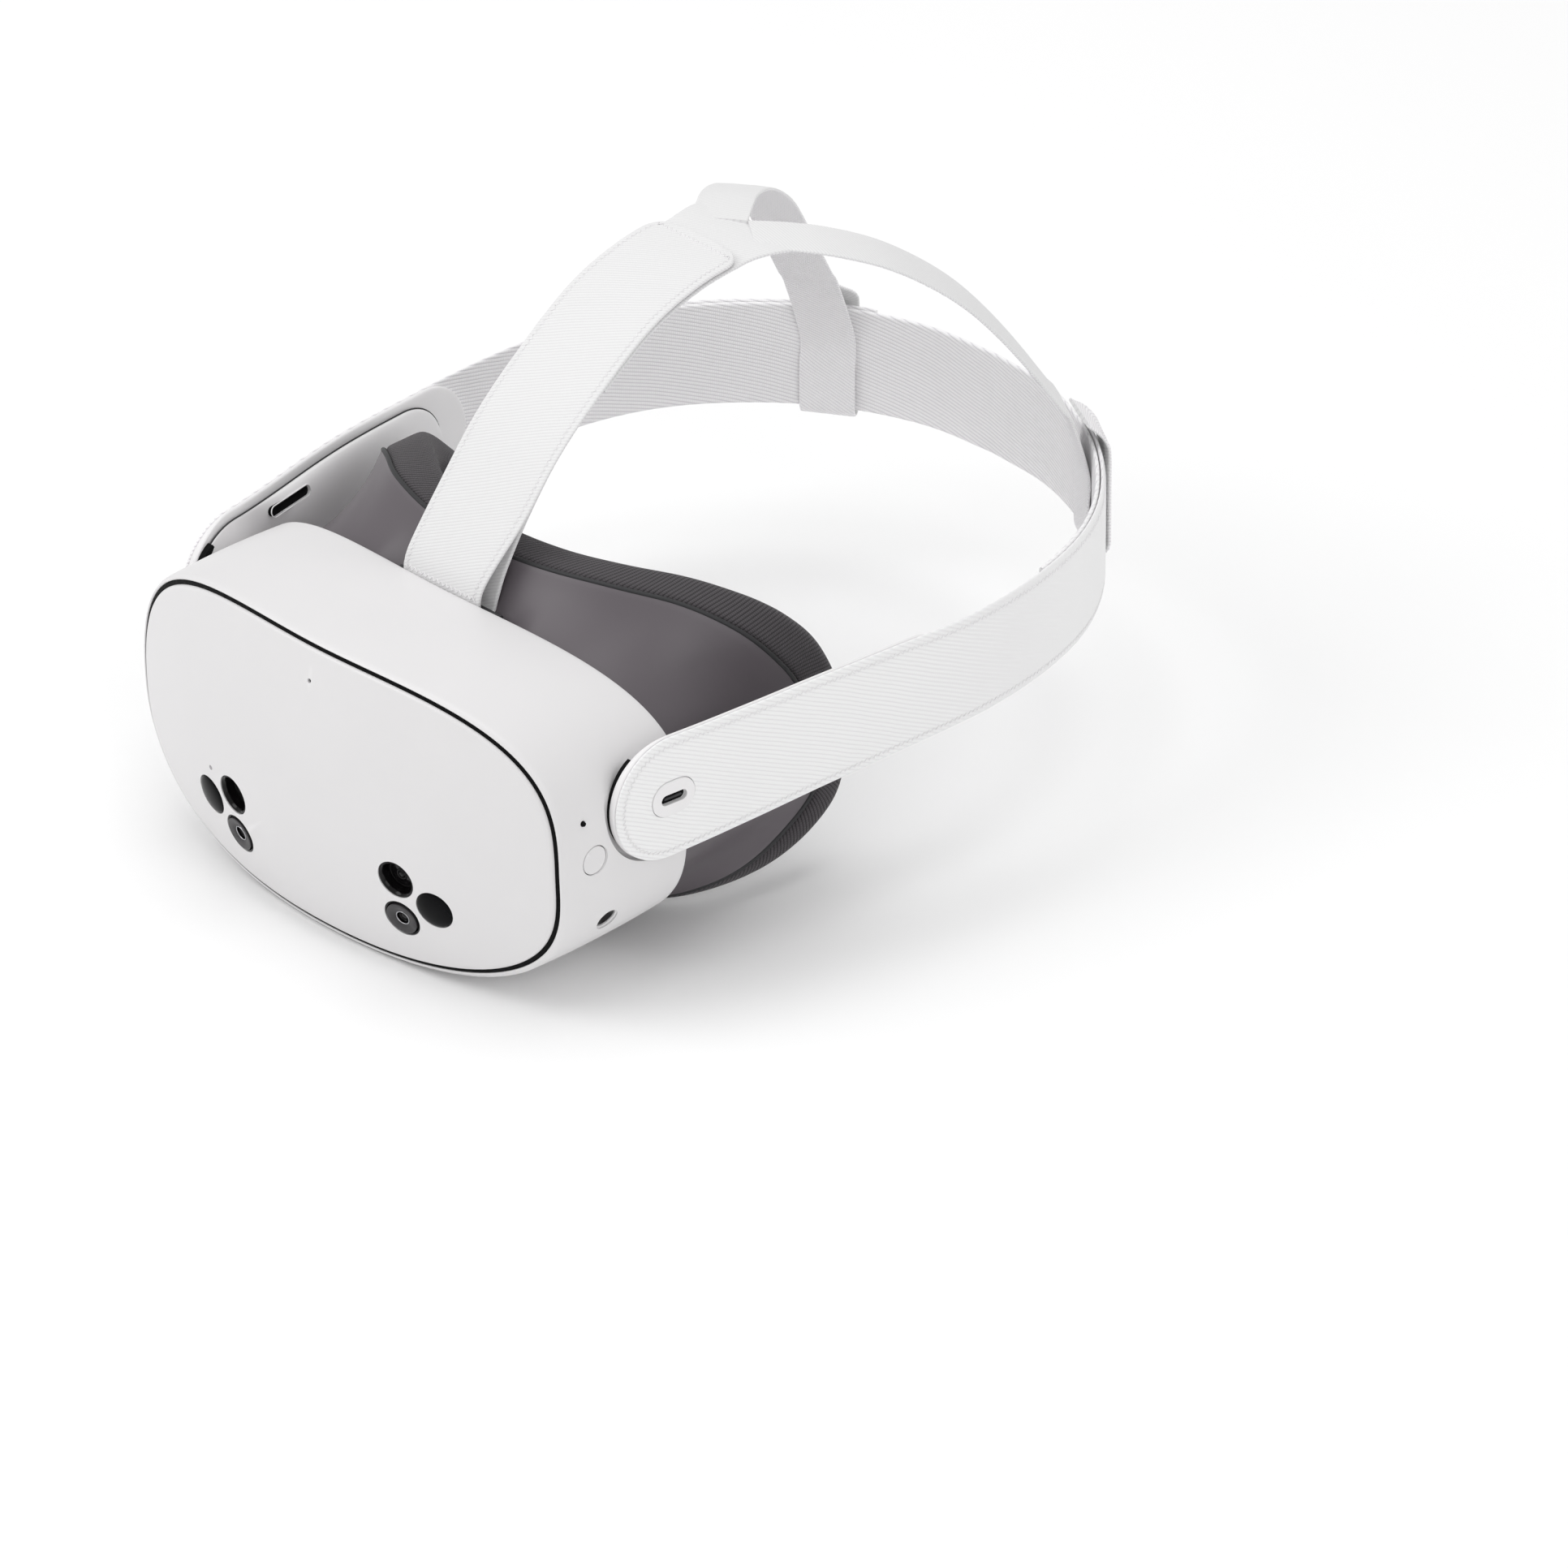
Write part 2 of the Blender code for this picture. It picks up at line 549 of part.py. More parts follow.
def make_optics():
    for up, word in ((1, "upper"), (-1, "lower")):
        rail = cylinder_mesh(f"lens_rail_{word}", RAIL_RADIUS, 124.0, 12)
        add_object(f"lens_rail_{word}", rail, STEEL, (0.0, RAIL_Y, up * RAIL_Z), (1, 0, 0))
    middle = (BARREL_FRONT_Y + BARREL_REAR_Y) / 2
    half = (BARREL_REAR_Y - BARREL_FRONT_Y) / 2
    bore = LENS_RADIUS + 0.4
    tube = [(bore, half), (BARREL_RADIUS, half), (BARREL_RADIUS, -half), (bore - 1.5, -half), (bore - 1.5, half - 8.0),
            (bore, half - 8.0), (bore, half)]
    glass = [(0.0, 3.0), (10.0, 2.7), (18.0, 1.9), (LENS_RADIUS, 0.9), (LENS_RADIUS, -1.2), (18.0, -1.8),
             (10.0, -2.6), (0.0, -2.9)]
    for side, word in ((1, "left"), (-1, "right")):
        barrel = turned(f"lens_barrel_{word}", tube, (side * LENS_X, middle, 0.0), (0, 1, 0), SOFT_BLACK, 28)
        for up in (1, -1):
            at = (side * LENS_X, RAIL_Y, up * (RAIL_Z - 0.5))
            join_box(barrel, "join_ear", at, (10.0, 6.0, 9.6))
        for up in (1, -1):
            at = (side * LENS_X, RAIL_Y, up * RAIL_Z)
            cut_cylinder(barrel, "cut_rail", at, (1, 0, 0), RAIL_RADIUS + 0.4, 30.0, 12)
        turned(f"lens_{word}", glass, (side * LENS_X, middle + half - 5.4, 0.0), (0, 1, 0), LENS_CLEAR, 28)


# ---------------------------------------------------------------- facial interface

def face_stations():
    """(crest point, outward, rearward) round the face cushion."""
    half = [Vector(point) for point in FACE_LINE]
    mirrored = [Vector((-point.x, point.y, point.z)) for point in reversed(half[1:-1])]
    whole = half + mirrored
    line = smooth_line([whole[-1], *whole, whole[0], whole[1]], 12 * FACE_STATIONS)
    start = min(range(len(line) // 2), key=lambda i: (line[i] - whole[0]).length)
    end = max(range(len(line) // 2, len(line)), key=lambda i: -(line[i] - whole[0]).length)
    loop = spaced(line[start:end + 1], FACE_STATIONS + 1)[:-1]
    stations = []
    for i, point in enumerate(loop):
        along = (loop[(i + 1) % FACE_STATIONS] - loop[i - 1]).normalized()
        outward = Vector((-along.z, 0.0, along.x)).normalized()
        square = along.cross(outward).normalized()
        rearward = square * math.copysign(1.0, square.y)
        stations.append((point, outward, rearward))
    return stations


def cushion_depth(point):
    """How far the cushion reaches inwards: full at the brow and temples, less at the nose and cheeks."""
    if point.z > 0:
        return CUSHION_DEPTH
    return NOSE_DEPTH + (CUSHION_DEPTH - NOSE_DEPTH) * min(max((abs(point.x) - 45.0) / 30.0, 0.0), 1.0)


def cushion_front(point):
    """How far the cushion's seam lies in front of its crest: least along the jaw, where the crest runs forward."""
    jaw = min(max((-point.z - 10.0) / 20.0, 0.0), 1.0) * min(max((abs(point.x) - 30.0) / 20.0, 0.0), 1.0)
    return CUSHION_FRONT + (JAW_FRONT - CUSHION_FRONT) * jaw


def make_face_cushion(stations):
    loops = []
    for point, outward, rearward in stations:
        depth = cushion_depth(point)
        front = cushion_front(point)
        inner, outer = -depth, 0.0
        section = [(outer, front + 2.0), (outer, 0.0), (outer - 1.5, 3.0), (outer - depth / 3, CUSHION_REAR),
                   (inner + depth / 4, CUSHION_REAR), (inner + 0.8, 2.0), (inner, -2.0), (inner + 1.0, front),
                   (outer - 1.0, front)]
        loops.append([point + outward * out + rearward * back for out, back in section])
    mesh = loft_mesh("face_cushion", loops, True)
    add_object("face_cushion", mesh, CUSHION_DARK)


def make_facial_frame(stations):
    """The moulded shell between the visor's rear opening and the cushion."""
    half_width, top, bottom = FRAME_FRONT
    loops = []
    for point, outward, rearward in stations:
        height = top if point.z > 0 else bottom
        angle = math.atan2(point.z / height, point.x / half_width)
        x, z = oval(angle, half_width, top, bottom, REAR_POWER, REAR_POWER)
        recess = STRAP_RECESS * min(max((34.0 - abs(x)) / 14.0, 0.0), 1.0) if z > 0 else 0.0
        front = Vector((x, rear_edge_y(x) - FRAME_INSET, z - recess))
        seam = point + outward * -1.2 + rearward * (cushion_front(point) - SEAM_GAP)
        away = Vector((x / half_width ** 2, 0.0, z / height ** 2)).normalized()
        outer = [front, front.lerp(seam, 0.35) - away * (0.8 + recess / 3), front.lerp(seam, 0.75) - outward * 1.2,
                 seam]
        inner = [seam - outward * FRAME_WALL, outer[2] - outward * FRAME_WALL,
                 outer[1] - (away + outward).normalized() * FRAME_WALL, front - away * FRAME_WALL]
        loops.append(outer + inner)
    add_object("facial_frame", loft_mesh("facial_frame", loops, True), FRAME_GREY)


# ---------------------------------------------------------------- head strap

def strap_stations(side, count):
    """(point, outward) along the outer face of one side's strap, from the front of the cap to the back."""
    line = smooth_line([(side * x, y, 0.0) for x, y in STRAP_LINE], count)
    return [(point, Vector((-along.y, along.x, 0.0)) * -side) for point, along in zip(line, tangents(line))]


def station_at(stations, y):
    """The station at a given y, on the stretch where y rises from each one to the next."""
    for (one, outward), (other, _) in zip(stations, stations[1:]):
        if one.y <= y <= other.y:
            return one.lerp(other, (y - one.y) / (other.y - one.y)), outward
    return stations[0]


def ease(part):
    part = min(max(part, 0.0), 1.0)
    return part * part * (3 - 2 * part)


def strap_z(y):
    """Height of the strap's middle line, which rises a little between the hinge and the back of the head."""
    return STRAP_Z + STRAP_RISE * ease((y - 60.0) / 62.0) * (1 - ease((y - 130.0) / 140.0))


def strap_half_width(y):
    """Half the strap's width: the round hinge cap at the front, then a slow taper to the back."""
    full = 20.7 - 2.7 * min(max((y - HINGE_Y) / 110.0, 0.0), 1.0)
    if y >= HINGE_Y:
        return full
    return max(math.sqrt(max(HINGE_CAP_RADIUS ** 2 - (HINGE_Y - y) ** 2, 0.0)) * full / HINGE_CAP_RADIUS, 1.5)


def strap_mesh(name, stations, depths, half_widths):
    """A band between two depths below the outer face, centred on the strap's middle line."""
    loops = []
    for (point, outward), half in zip(stations, half_widths):
        near = point - outward * depths[0]
        far = point - outward * depths[1]
        up = Vector((0.0, 0.0, half))
        middle = Vector((0.0, 0.0, strap_z(point.y)))
        loops.append([near + middle + up, near + middle - up, far + middle - up, far + middle + up])
    return loft_mesh(name, loops, False)


def cap_stations(side, rear_y, rear_radius):
    """Stations of the stiff arm with a round end at the front and at the back."""
    fine = strap_stations(side, 240)
    wanted = [HINGE_Y - HINGE_CAP_RADIUS * math.cos(math.pi / 2 * step / 8) for step in range(8)]
    wanted[0] = fine[0][0].y
    wanted += [HINGE_Y + (rear_y - rear_radius - HINGE_Y) * step / 5 for step in range(6)]
    wanted += [rear_y - rear_radius + rear_radius * math.sin(math.pi / 2 * step / 6) for step in range(1, 7)]
    stations, halves = [], []
    for y in wanted:
        stations.append(station_at(fine, y))
        half = strap_half_width(y)
        behind = max(y - (rear_y - rear_radius), 0.0)
        halves.append(max(half * math.sqrt(max(1 - (behind / rear_radius) ** 2, 0.0)), 1.5))
    return stations, halves


def make_arm(side, word):
    stations, halves = cap_stations(side, ARM_REAR_Y, 18.0)
    stations = stations[1:-1]
    halves = [half - 0.6 for half in halves[1:-1]]
    mesh = strap_mesh(f"arm_shell_{word}", stations, (STRAP_THICKNESS + GAP, ARM_DEPTH), halves)
    arm = add_object(f"arm_shell_{word}", mesh, SHELL_WHITE)
    cut_cylinder(arm, "cut_arm_pin", (side * 92.0, HINGE_Y, HINGE_Z), (1, 0, 0), HINGE_PIN_RADIUS + GAP, 20.0)
    make_arm_cover(side, word)
    pin = [(0.0, 93.5), (HINGE_PIN_RADIUS, 93.5), (HINGE_PIN_RADIUS, 83.8), (6.9, 83.8), (6.9, 82.0), (0.0, 82.0)]
    turned(f"hinge_pin_{word}", pin, (0.0, HINGE_Y, HINGE_Z), (side, 0, 0), STEEL)
    disc = [(HINGE_PIN_RADIUS + GAP, 90.3), (14.0, 90.3), (14.0, 89.2), (HINGE_PIN_RADIUS + GAP, 89.2),
            (HINGE_PIN_RADIUS + GAP, 90.3)]
    turned(f"hinge_washer_{word}", disc, (0.0, HINGE_Y, HINGE_Z), (side, 0, 0), SOFT_BLACK)


def make_arm_cover(side, word):
    """The inner cover of an arm, thickest over the speaker at its front."""
    fine = strap_stations(side, 240)
    loops = []
    length = COVER_REAR_Y - COVER_FRONT_Y
    for part in (0.0, 0.02, 0.06, 0.12, 0.22, 0.4, 0.6, 0.78, 0.87, 0.94, 0.98, 1.0):
        y = COVER_FRONT_Y + length * part
        point, outward = station_at(fine, y)
        front = min(part * length / 9.0, 1.0)
        rear = min((1 - part) * length / 17.0, 1.0)
        round_off = math.sqrt(1 - (1 - front) ** 2) * math.sqrt(1 - (1 - rear) ** 2)
        half = max(17.9 * (0.55 + 0.45 * round_off if front < 1 else round_off), 3.0)
        depth = ARM_DEPTH + GAP + max((5.6 - 3.6 * part) * max(round_off, 0.35), 1.2)
        base = point - outward * (ARM_DEPTH + GAP)
        face = point - outward * depth
        edge = (depth - ARM_DEPTH - GAP) * 0.6
        slim = half - min(3.0, half * 0.4)
        rim = base.lerp(face, 0.45)
        section = ((base, half), (base, -half), (rim, -half), (face, -slim), (face, slim - edge), (rim, half))
        loops.append([spot + Vector((0.0, 0.0, strap_z(y) + height)) for spot, height in section])
    cover = add_object(f"arm_cover_{word}", loft_mesh(f"arm_cover_{word}", loops, False), SHELL_WHITE)
    turn = math.radians(7.2) * -side
    for name, size, grow in ((f"cut_speaker_{word}", (3.2, 24.0, 14.0), 0.6), (f"speaker_{word}", (3.2, 24.0, 14.0), 0.0)):
        width, depth, height = size
        mesh = box_mesh(name, (width + grow, depth + grow, height + grow), 0.8)
        material = None if grow else SOFT_BLACK
        box = add_object(name, mesh, material, (side * 95.0, 104.0, strap_z(104.0) - 3.0))
        box.rotation_euler.z = turn
        if grow:
            boolean(cover, box)
    slot = add_object(f"cut_slot_{word}", pill_mesh("cut_slot", 16.0, 2.8, 14.0), None,
                      (side * 91.2, 86.5, strap_z(86.5) + 14.0))
    slot.rotation_euler = (0.0, side * math.radians(-58), side * math.radians(84) - turn)
    boolean(cover, slot)


def make_side_straps():
    for side, word in ((1, "left"), (-1, "right")):
        fine = strap_stations(side, 240)
        stations, halves = cap_stations(side, 1000.0, 1.0)
        stations, halves = stations[:8], halves[:8]
        last = max(i for i, (point, _) in enumerate(fine) if abs(point.x) > 44.0)
        first = min(range(len(fine)), key=lambda i: abs(fine[i][0].y - HINGE_Y))
        for i in range(first, last + 1, 8):
            stations.append(fine[i])
            halves.append(strap_half_width(fine[i][0].y))
        name = f"side_strap_{word}"
        strap = add_object(name, strap_mesh(name, stations, (0.0, STRAP_THICKNESS), halves), STRAP_WHITE)
        if side > 0:
            boolean(strap, port_piece("cut_port", (16.6, 12.2, 8.0), 0.0, None))
    port = port_piece("usb_c_port", (16.0, 11.6, 1.9), -0.6, SHELL_WHITE)
    boolean(port, port_piece("cut_usb", (9.0, 3.2, 3.0), 0.4, None))


def port_piece(name, size, proud, material):
    """A pill-shaped piece over the left hinge, flat on the strap's outer face, with its middle this proud."""
    point, outward = station_at(strap_stations(1, 240), HINGE_Y + 0.8)
    middle = point + outward * proud
    piece = add_object(name, pill_mesh(name, *size), material, (middle.x, middle.y, HINGE_Z))
    piece.rotation_euler = (math.pi / 2, 0.0, math.pi / 2 + math.atan2(outward.y, outward.x))
    return piece


def make_rear_strap():
    """The inner band across the back, under the ends of both side straps."""
    right = [item for item in strap_stations(-1, 240) if item[0].y > 240.0][::7]
    left = [item for item in strap_stations(1, 240) if item[0].y > 240.0][::7]
    stations = right + left[::-1][1:] if abs(right[-1][0].x - left[-1][0].x) < 1 else right + left[::-1]
    halves = [17.6] * len(stations)
    depths = (STRAP_THICKNESS + GAP, 2 * STRAP_THICKNESS + GAP)
    add_object("rear_strap", strap_mesh("rear_strap", stations, depths, halves), STRAP_WHITE)


def make_strap_loops():
    """A sewn sleeve round the rear band, where each tail of the top strap ends."""
    for side, word in ((1, "left"), (-1, "right")):
        point, outward = min(strap_stations(side, 240), key=lambda item: abs(abs(item[0].x) - LOOP_X))
        turn = math.atan2(outward.y, outward.x) - math.pi / 2
        middle = point - outward * (STRAP_THICKNESS + GAP / 2)
        name = f"strap_loop_{word}"
        loop = add_object(name, box_mesh(name, (LOOP_WIDTH, 8.4, 41.0), 1.0), STRAP_WHITE,
                          (middle.x, middle.y, STRAP_Z))
        loop.rotation_euler.z = turn
        hole = add_object("cut_loop", box_mesh("cut_loop", (LOOP_WIDTH + 10, 5.6, 37.2)), None,
                          (middle.x, middle.y, STRAP_Z))
        hole.rotation_euler.z = turn
        boolean(loop, hole)


def arch_outwards(line):
    """Outward directions of a strap that lies in the x = 0 plane."""
    return [Vector((0.0, -along.z, along.y)) for along in tangents(line)]


def make_top_straps():
    """The folded front layer, and the trunk and two tails that run to the back."""
    line = smooth_line([(0.0, y, z) for y, z in TOP_LINE], 22)
    mesh = ribbon_mesh("top_strap", line, arch_outwards(line), [TOP_WIDTH] * len(line), STRAP_THICKNESS)
    add_object("top_strap", mesh, STRAP_WHITE)
    line = smooth_line([(0.0, y, z) for y, z in TRUNK_LINE], 14)
    widths = [TOP_WIDTH - 1.0] * 9 + [TOP_WIDTH - 1.0 + step for step in (0.5, 1.5, 3.0, 4.5, 6.0)]
    trunk = add_object("y_strap", ribbon_mesh("y_strap", line, arch_outwards(line), widths, STRAP_THICKNESS),
                       STRAP_WHITE)
    centre = Vector(HEAD_CENTRE)
    for side in (1, -1):
        line = smooth_line([(side * x, y, z) for x, y, z in TAIL_LINE], 18)
        outwards = []
        for point, along in zip(line, tangents(line)):
            away = point - centre
            outwards.append((away - along * away.dot(along)).normalized())
        # One tail is sewn over the other, so none of their faces coincide.
        lift = 0.15 if side > 0 else 0.0
        line = [point + outward * lift for point, outward in zip(line, outwards)]
        mesh = ribbon_mesh("join_tail", line, outwards, [TAIL_WIDTH] * len(line), STRAP_THICKNESS + 0.2)
        boolean(trunk, add_object("join_tail", mesh, None), "UNION")


def main():
    make_front_plate()
    make_gap_seal()
    make_main_housing()
    make_top_bar()
    make_front_sensors()
    make_side_cameras()
    make_controls()
    make_electronics()
    make_display()
    make_lens_panel()
    make_optics()
    stations = face_stations()
    make_face_cushion(stations)
    make_facial_frame(stations)
    for side, word in ((1, "left"), (-1, "right")):
        make_arm(side, word)
    make_side_straps()
    make_rear_strap()
    make_strap_loops()
    make_top_straps()


main()
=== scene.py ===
"""The looks of a standalone VR headset with soft head straps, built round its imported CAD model.

Lengths are millimetres in the visor's own coordinates: x to the wearer's left, y backwards from the
middle of the faceplate, z up from the middle of the faceplate. place() turns them into the frame's metres.
"""

import math

import bmesh
import bpy
from mathutils import Matrix, Vector


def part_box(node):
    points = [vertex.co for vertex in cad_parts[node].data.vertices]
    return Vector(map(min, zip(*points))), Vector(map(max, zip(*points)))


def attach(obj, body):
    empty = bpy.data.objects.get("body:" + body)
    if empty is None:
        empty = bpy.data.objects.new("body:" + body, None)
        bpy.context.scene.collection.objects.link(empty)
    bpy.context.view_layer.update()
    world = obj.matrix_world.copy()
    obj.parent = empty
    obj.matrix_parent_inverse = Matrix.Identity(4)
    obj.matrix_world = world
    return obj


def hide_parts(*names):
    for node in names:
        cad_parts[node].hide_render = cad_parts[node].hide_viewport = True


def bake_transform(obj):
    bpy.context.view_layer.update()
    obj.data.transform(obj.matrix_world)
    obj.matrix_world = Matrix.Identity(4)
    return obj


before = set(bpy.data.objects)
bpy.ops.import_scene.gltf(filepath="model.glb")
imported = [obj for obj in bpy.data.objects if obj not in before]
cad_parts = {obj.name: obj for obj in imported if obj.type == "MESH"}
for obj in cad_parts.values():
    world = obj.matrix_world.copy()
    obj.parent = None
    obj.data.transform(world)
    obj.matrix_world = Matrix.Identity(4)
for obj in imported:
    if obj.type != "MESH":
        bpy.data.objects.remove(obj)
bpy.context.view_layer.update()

MM = 0.001
SIDES = ((1, "left"), (-1, "right"))

# The lens panel stands square to the axes, so its box gives the place of the visor's own origin
PANEL_Y = 51.0
PANEL_BOTTOM = 43.2
PANEL_OVAL = (86.4, 45.2, 43.0)
PANEL_SCREW = (66.0, 33.0)
PANEL_LOW, PANEL_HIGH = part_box("lens_panel")
ORIGIN = Vector(((PANEL_LOW.x + PANEL_HIGH.x) / 2 / MM,
                 (PANEL_LOW.y + PANEL_HIGH.y) / 2 / MM - PANEL_Y,
                 PANEL_LOW.z / MM + PANEL_BOTTOM))
GROUND = -ORIGIN.z

# Faceplate
PLATE_HALF_WIDTH = 87.5
PLATE_TOP = 49.6
PLATE_BOTTOM = 47.8
PLATE_POWER_TOP = 3.0
PLATE_POWER_BOTTOM = 2.75
PLATE_THICKNESS = 2.0
PLATE_BEND_X = 0.00231
PLATE_BEND_X4 = 2.1e-8
PLATE_BEND_Z = 0.0033
PLATE_LEAN = math.tan(math.radians(2.85))
ROUND_STEPS = 240

# Camera and lamp windows in the faceplate, as (x, z) on the wearer's left. The right side mirrors them
WINDOW_RADIUS = 6.5
TRACKING_WINDOW = (35.0, -15.0)
PASSTHROUGH_WINDOW = (34.9, -29.6)
LAMP_WINDOW = (47.9, -21.7)
MICROPHONE_Z = 40.0
FACE_LAMP = (-46.0, -10.6)

PLATE_EDGE = 0.9
PLATE_RINGS = (0.02, 0.12, 0.24, 0.36, 0.48, 0.60, 0.70, 0.79, 0.87, 0.93, 0.965)

# Housing and its controls
REAR_HALF_WIDTH = 91.5
REAR_TOP = 49.0
REAR_BOTTOM = 46.5
REAR_POWER = 3.0
REAR_EDGE_Y = 59.0
REAR_EDGE_BEND = 12.5
SIDE_WALL = 3.4
WALL = 2.5
POWER_BUTTON = (33.3, 3.3)
POWER_BUTTON_RADIUS = 4.6
STATUS_LED = (29.5, 17.1)
UNDER_KEYS = ((1, "volume_key", "volume_rocker", 18.0), (-1, "action_key", "action_button", 10.0))
SIDE_CAMERA = (87.2, 41.0, -21.4)
SIDE_CAMERA_AXIS = (0.88, 0.0, -0.475)
UNDER_BUTTON = (48.0, 36.0, -46.4)
UNDER_TILT = math.radians(11.3)

# Strap hinge and optics
HINGE_Y = 60.0
HINGE_Z = 16.0
HINGE_CAP_RADIUS = 21.3
POCKET_RADIUS = 21.9
POCKET_FLOOR_X = 88.9
LENS_X = 32.0
LENS_RADIUS = 22.6
BARREL_RADIUS = 25.0
BARREL_MIDDLE_Y = 49.0
BARREL_HALF_DEPTH = 13.0
LENS_TRAVEL = 2.5

# Straps: the outer face in plan, from the front of the hinge cap to the middle of the back
STRAP_LINE = [(94.2, 38.5), (96.1, 60.0), (98.9, 80.0), (101.9, 100.0), (104.2, 120.0), (105.8, 140.0),
              (107.9, 175.0), (105.5, 205.0), (98.9, 231.0), (87.7, 252.0), (70.4, 271.0), (50.5, 285.0),
              (26.0, 294.4), (0.0, 296.9)]
STRAP_Z = 15.8
STRAP_RISE = 2.3
BACK_RISE = 1.4
STRAP_THICKNESS = 1.6
ARM_DEPTH = 4.2
ARM_REAR_Y = 171.0
COVER_FRONT_Y = 77.0
COVER_REAR_Y = 158.0
TAIL_WIDTH = 17.5
TAIL_THICKNESS = 1.2
TOP_WIDTH = 36.0
TOP_LINE = [(59.5, 47.4), (59.9, 51.2), (62.6, 56.6), (73.0, 69.8), (90.0, 89.5), (109.0, 105.0),
            (130.0, 118.4), (150.0, 124.7), (168.5, 126.4)]
UNDER_LINE = [(59.6, 46.6), (60.1, 44.4), (62.3, 43.3), (64.6, 44.8), (66.2, 49.0), (70.0, 57.6),
              (79.5, 72.4), (92.5, 88.0), (106.0, 99.6), (113.0, 104.4)]
TRUNK_LINE = [(110.0, 103.7), (130.0, 116.1), (150.0, 122.4), (168.5, 124.1), (180.0, 124.0), (191.0, 122.0)]
TAIL_LINE = [(7.0, 183.0, 123.8), (13.5, 191.5, 122.6), (21.3, 201.8, 119.9), (29.2, 215.0, 113.8),
             (35.6, 227.3, 105.0), (41.3, 238.0, 94.8), (46.2, 247.5, 82.6), (50.0, 256.5, 69.2),
             (53.0, 265.5, 54.8), (55.2, 273.3, 42.4)]
LOOP_X = 57.6
LOOP_INNER_DEPTH = 4.1
LOOP_OUTER_FACE = 1.3
HEAD_CENTRE = Vector((0.0, 175.0, 15.0))
STITCH_INSET = 2.6
SOUND_SLOT_Y = 83.5
SOUND_SLOT_Z = 14.2
SOUND_SLOT_LENGTH = 19.0
SPEAKER_Y = 104.0
SPEAKER_Z = -8.5
SIDE_STRAP_END_X = 44.0
REAR_BAND_START_Y = 212.0

# Facial interface: the outer crest of the face cushion, its left half from the brow to the nose
FACE_LINE = [(0.0, 86.0, 59.3), (22.0, 88.2, 59.6), (41.0, 94.8, 59.4), (55.5, 104.6, 57.2),
             (65.5, 112.0, 53.8), (73.5, 119.8, 48.3), (79.0, 127.8, 40.0), (81.8, 136.5, 28.0),
             (82.4, 144.5, 10.0), (82.2, 147.0, -6.0), (82.0, 142.0, -26.0), (77.5, 120.0, -41.0),
             (64.0, 96.0, -47.6), (44.0, 82.5, -48.4), (26.0, 78.0, -45.5), (12.0, 76.0, -33.0),
             (0.0, 76.5, -26.0)]
FACE_STATIONS = 220
CUSHION_REAR = 4.5
CUSHION_FRONT = -10.5
JAW_FRONT = -5.0
CUSHION_DEPTH = 15.0
NOSE_DEPTH = 7.5
FRAME_WALL = 2.4
SEAM_GAP = 1.0
FRAME_INSET = 2.4
FRAME_FRONT = (86.2, 42.4, 42.4)
STRAP_RECESS = 6.0
PAD_PRESSURE = 4.0
PAD_FRAMES = 20
PAD_TRAVEL = 1.4

# The studio and the camera, in metres, watts and degrees
WORLD_LIGHT = 0.66
LAMPS = (("key", (-0.9, -1.3, 1.6), 1.4, 12.0), ("side", (2.2, -0.7, 1.3), 1.6, 8.0),
         ("top", (-0.1, 0.1, 2.3), 2.0, 14.5))
LAMP_TARGET = Vector((0.0, 0.0, 0.08))
CAMERA_AZIMUTH = 45.0
CAMERA_ELEVATION = 30.85
CAMERA_DISTANCE = 7.4
CAMERA_SENSOR = 36.0
CAMERA_SHIFT = (0.14398, 0.00476)
PICTURE_WIDTH_MM = 1932 / 4.12


# ---------------------------------------------------------------- materials

def node(tree, kind, inputs=(), **settings):
    """A shader node. inputs are (socket, value or output to link) pairs."""
    made = tree.nodes.new(kind)
    for name, value in settings.items():
        setattr(made, name, value)
    for socket, value in inputs:
        if isinstance(value, bpy.types.NodeSocket):
            tree.links.new(value, made.inputs[socket])
        else:
            made.inputs[socket].default_value = value
    return made


def maths(tree, operation, first, second=0.0):
    return node(tree, "ShaderNodeMath", ((0, first), (1, second)), operation=operation).outputs[0]


def noise(tree, vector, scale, detail=2.0):
    made = node(tree, "ShaderNodeTexNoise", (("Vector", vector), ("Scale", scale), ("Detail", detail)))
    return made.outputs["Fac"]


def blend_colours(tree, factor, low, high):
    """low and high are colours, or outputs that give them."""
    low, high = (end if isinstance(end, bpy.types.NodeSocket) else (*end, 1.0) for end in (low, high))
    return node(tree, "ShaderNodeMix", ((0, factor), (6, low), (7, high)), data_type="RGBA").outputs[2]


def new_material(name, roughness, **sockets):
    made = bpy.data.materials.new(name)
    made.use_nodes = True
    shader = made.node_tree.nodes["Principled BSDF"]
    shader.inputs["Roughness"].default_value = roughness
    for socket, value in sockets.items():
        shader.inputs[socket.replace("_", " ")].default_value = value
    return made, made.node_tree, shader


def ranged(tree, value, low, high, start=0.0, end=1.0):
    """A value that runs from start to end, made to run from low to high."""
    inputs = ((0, value), (1, start), (2, end), (3, low), (4, high))
    return node(tree, "ShaderNodeMapRange", inputs).outputs[0]


def feed(shader, socket, value):
    shader.id_data.links.new(value, shader.inputs[socket])


def add_relief(shader, height, depth, strength=1.0):
    """Bumps of a depth in millimetres."""
    inputs = (("Strength", strength), ("Distance", depth * MM), ("Height", height))
    feed(shader, "Normal", node(shader.id_data, "ShaderNodeBump", inputs).outputs[0])


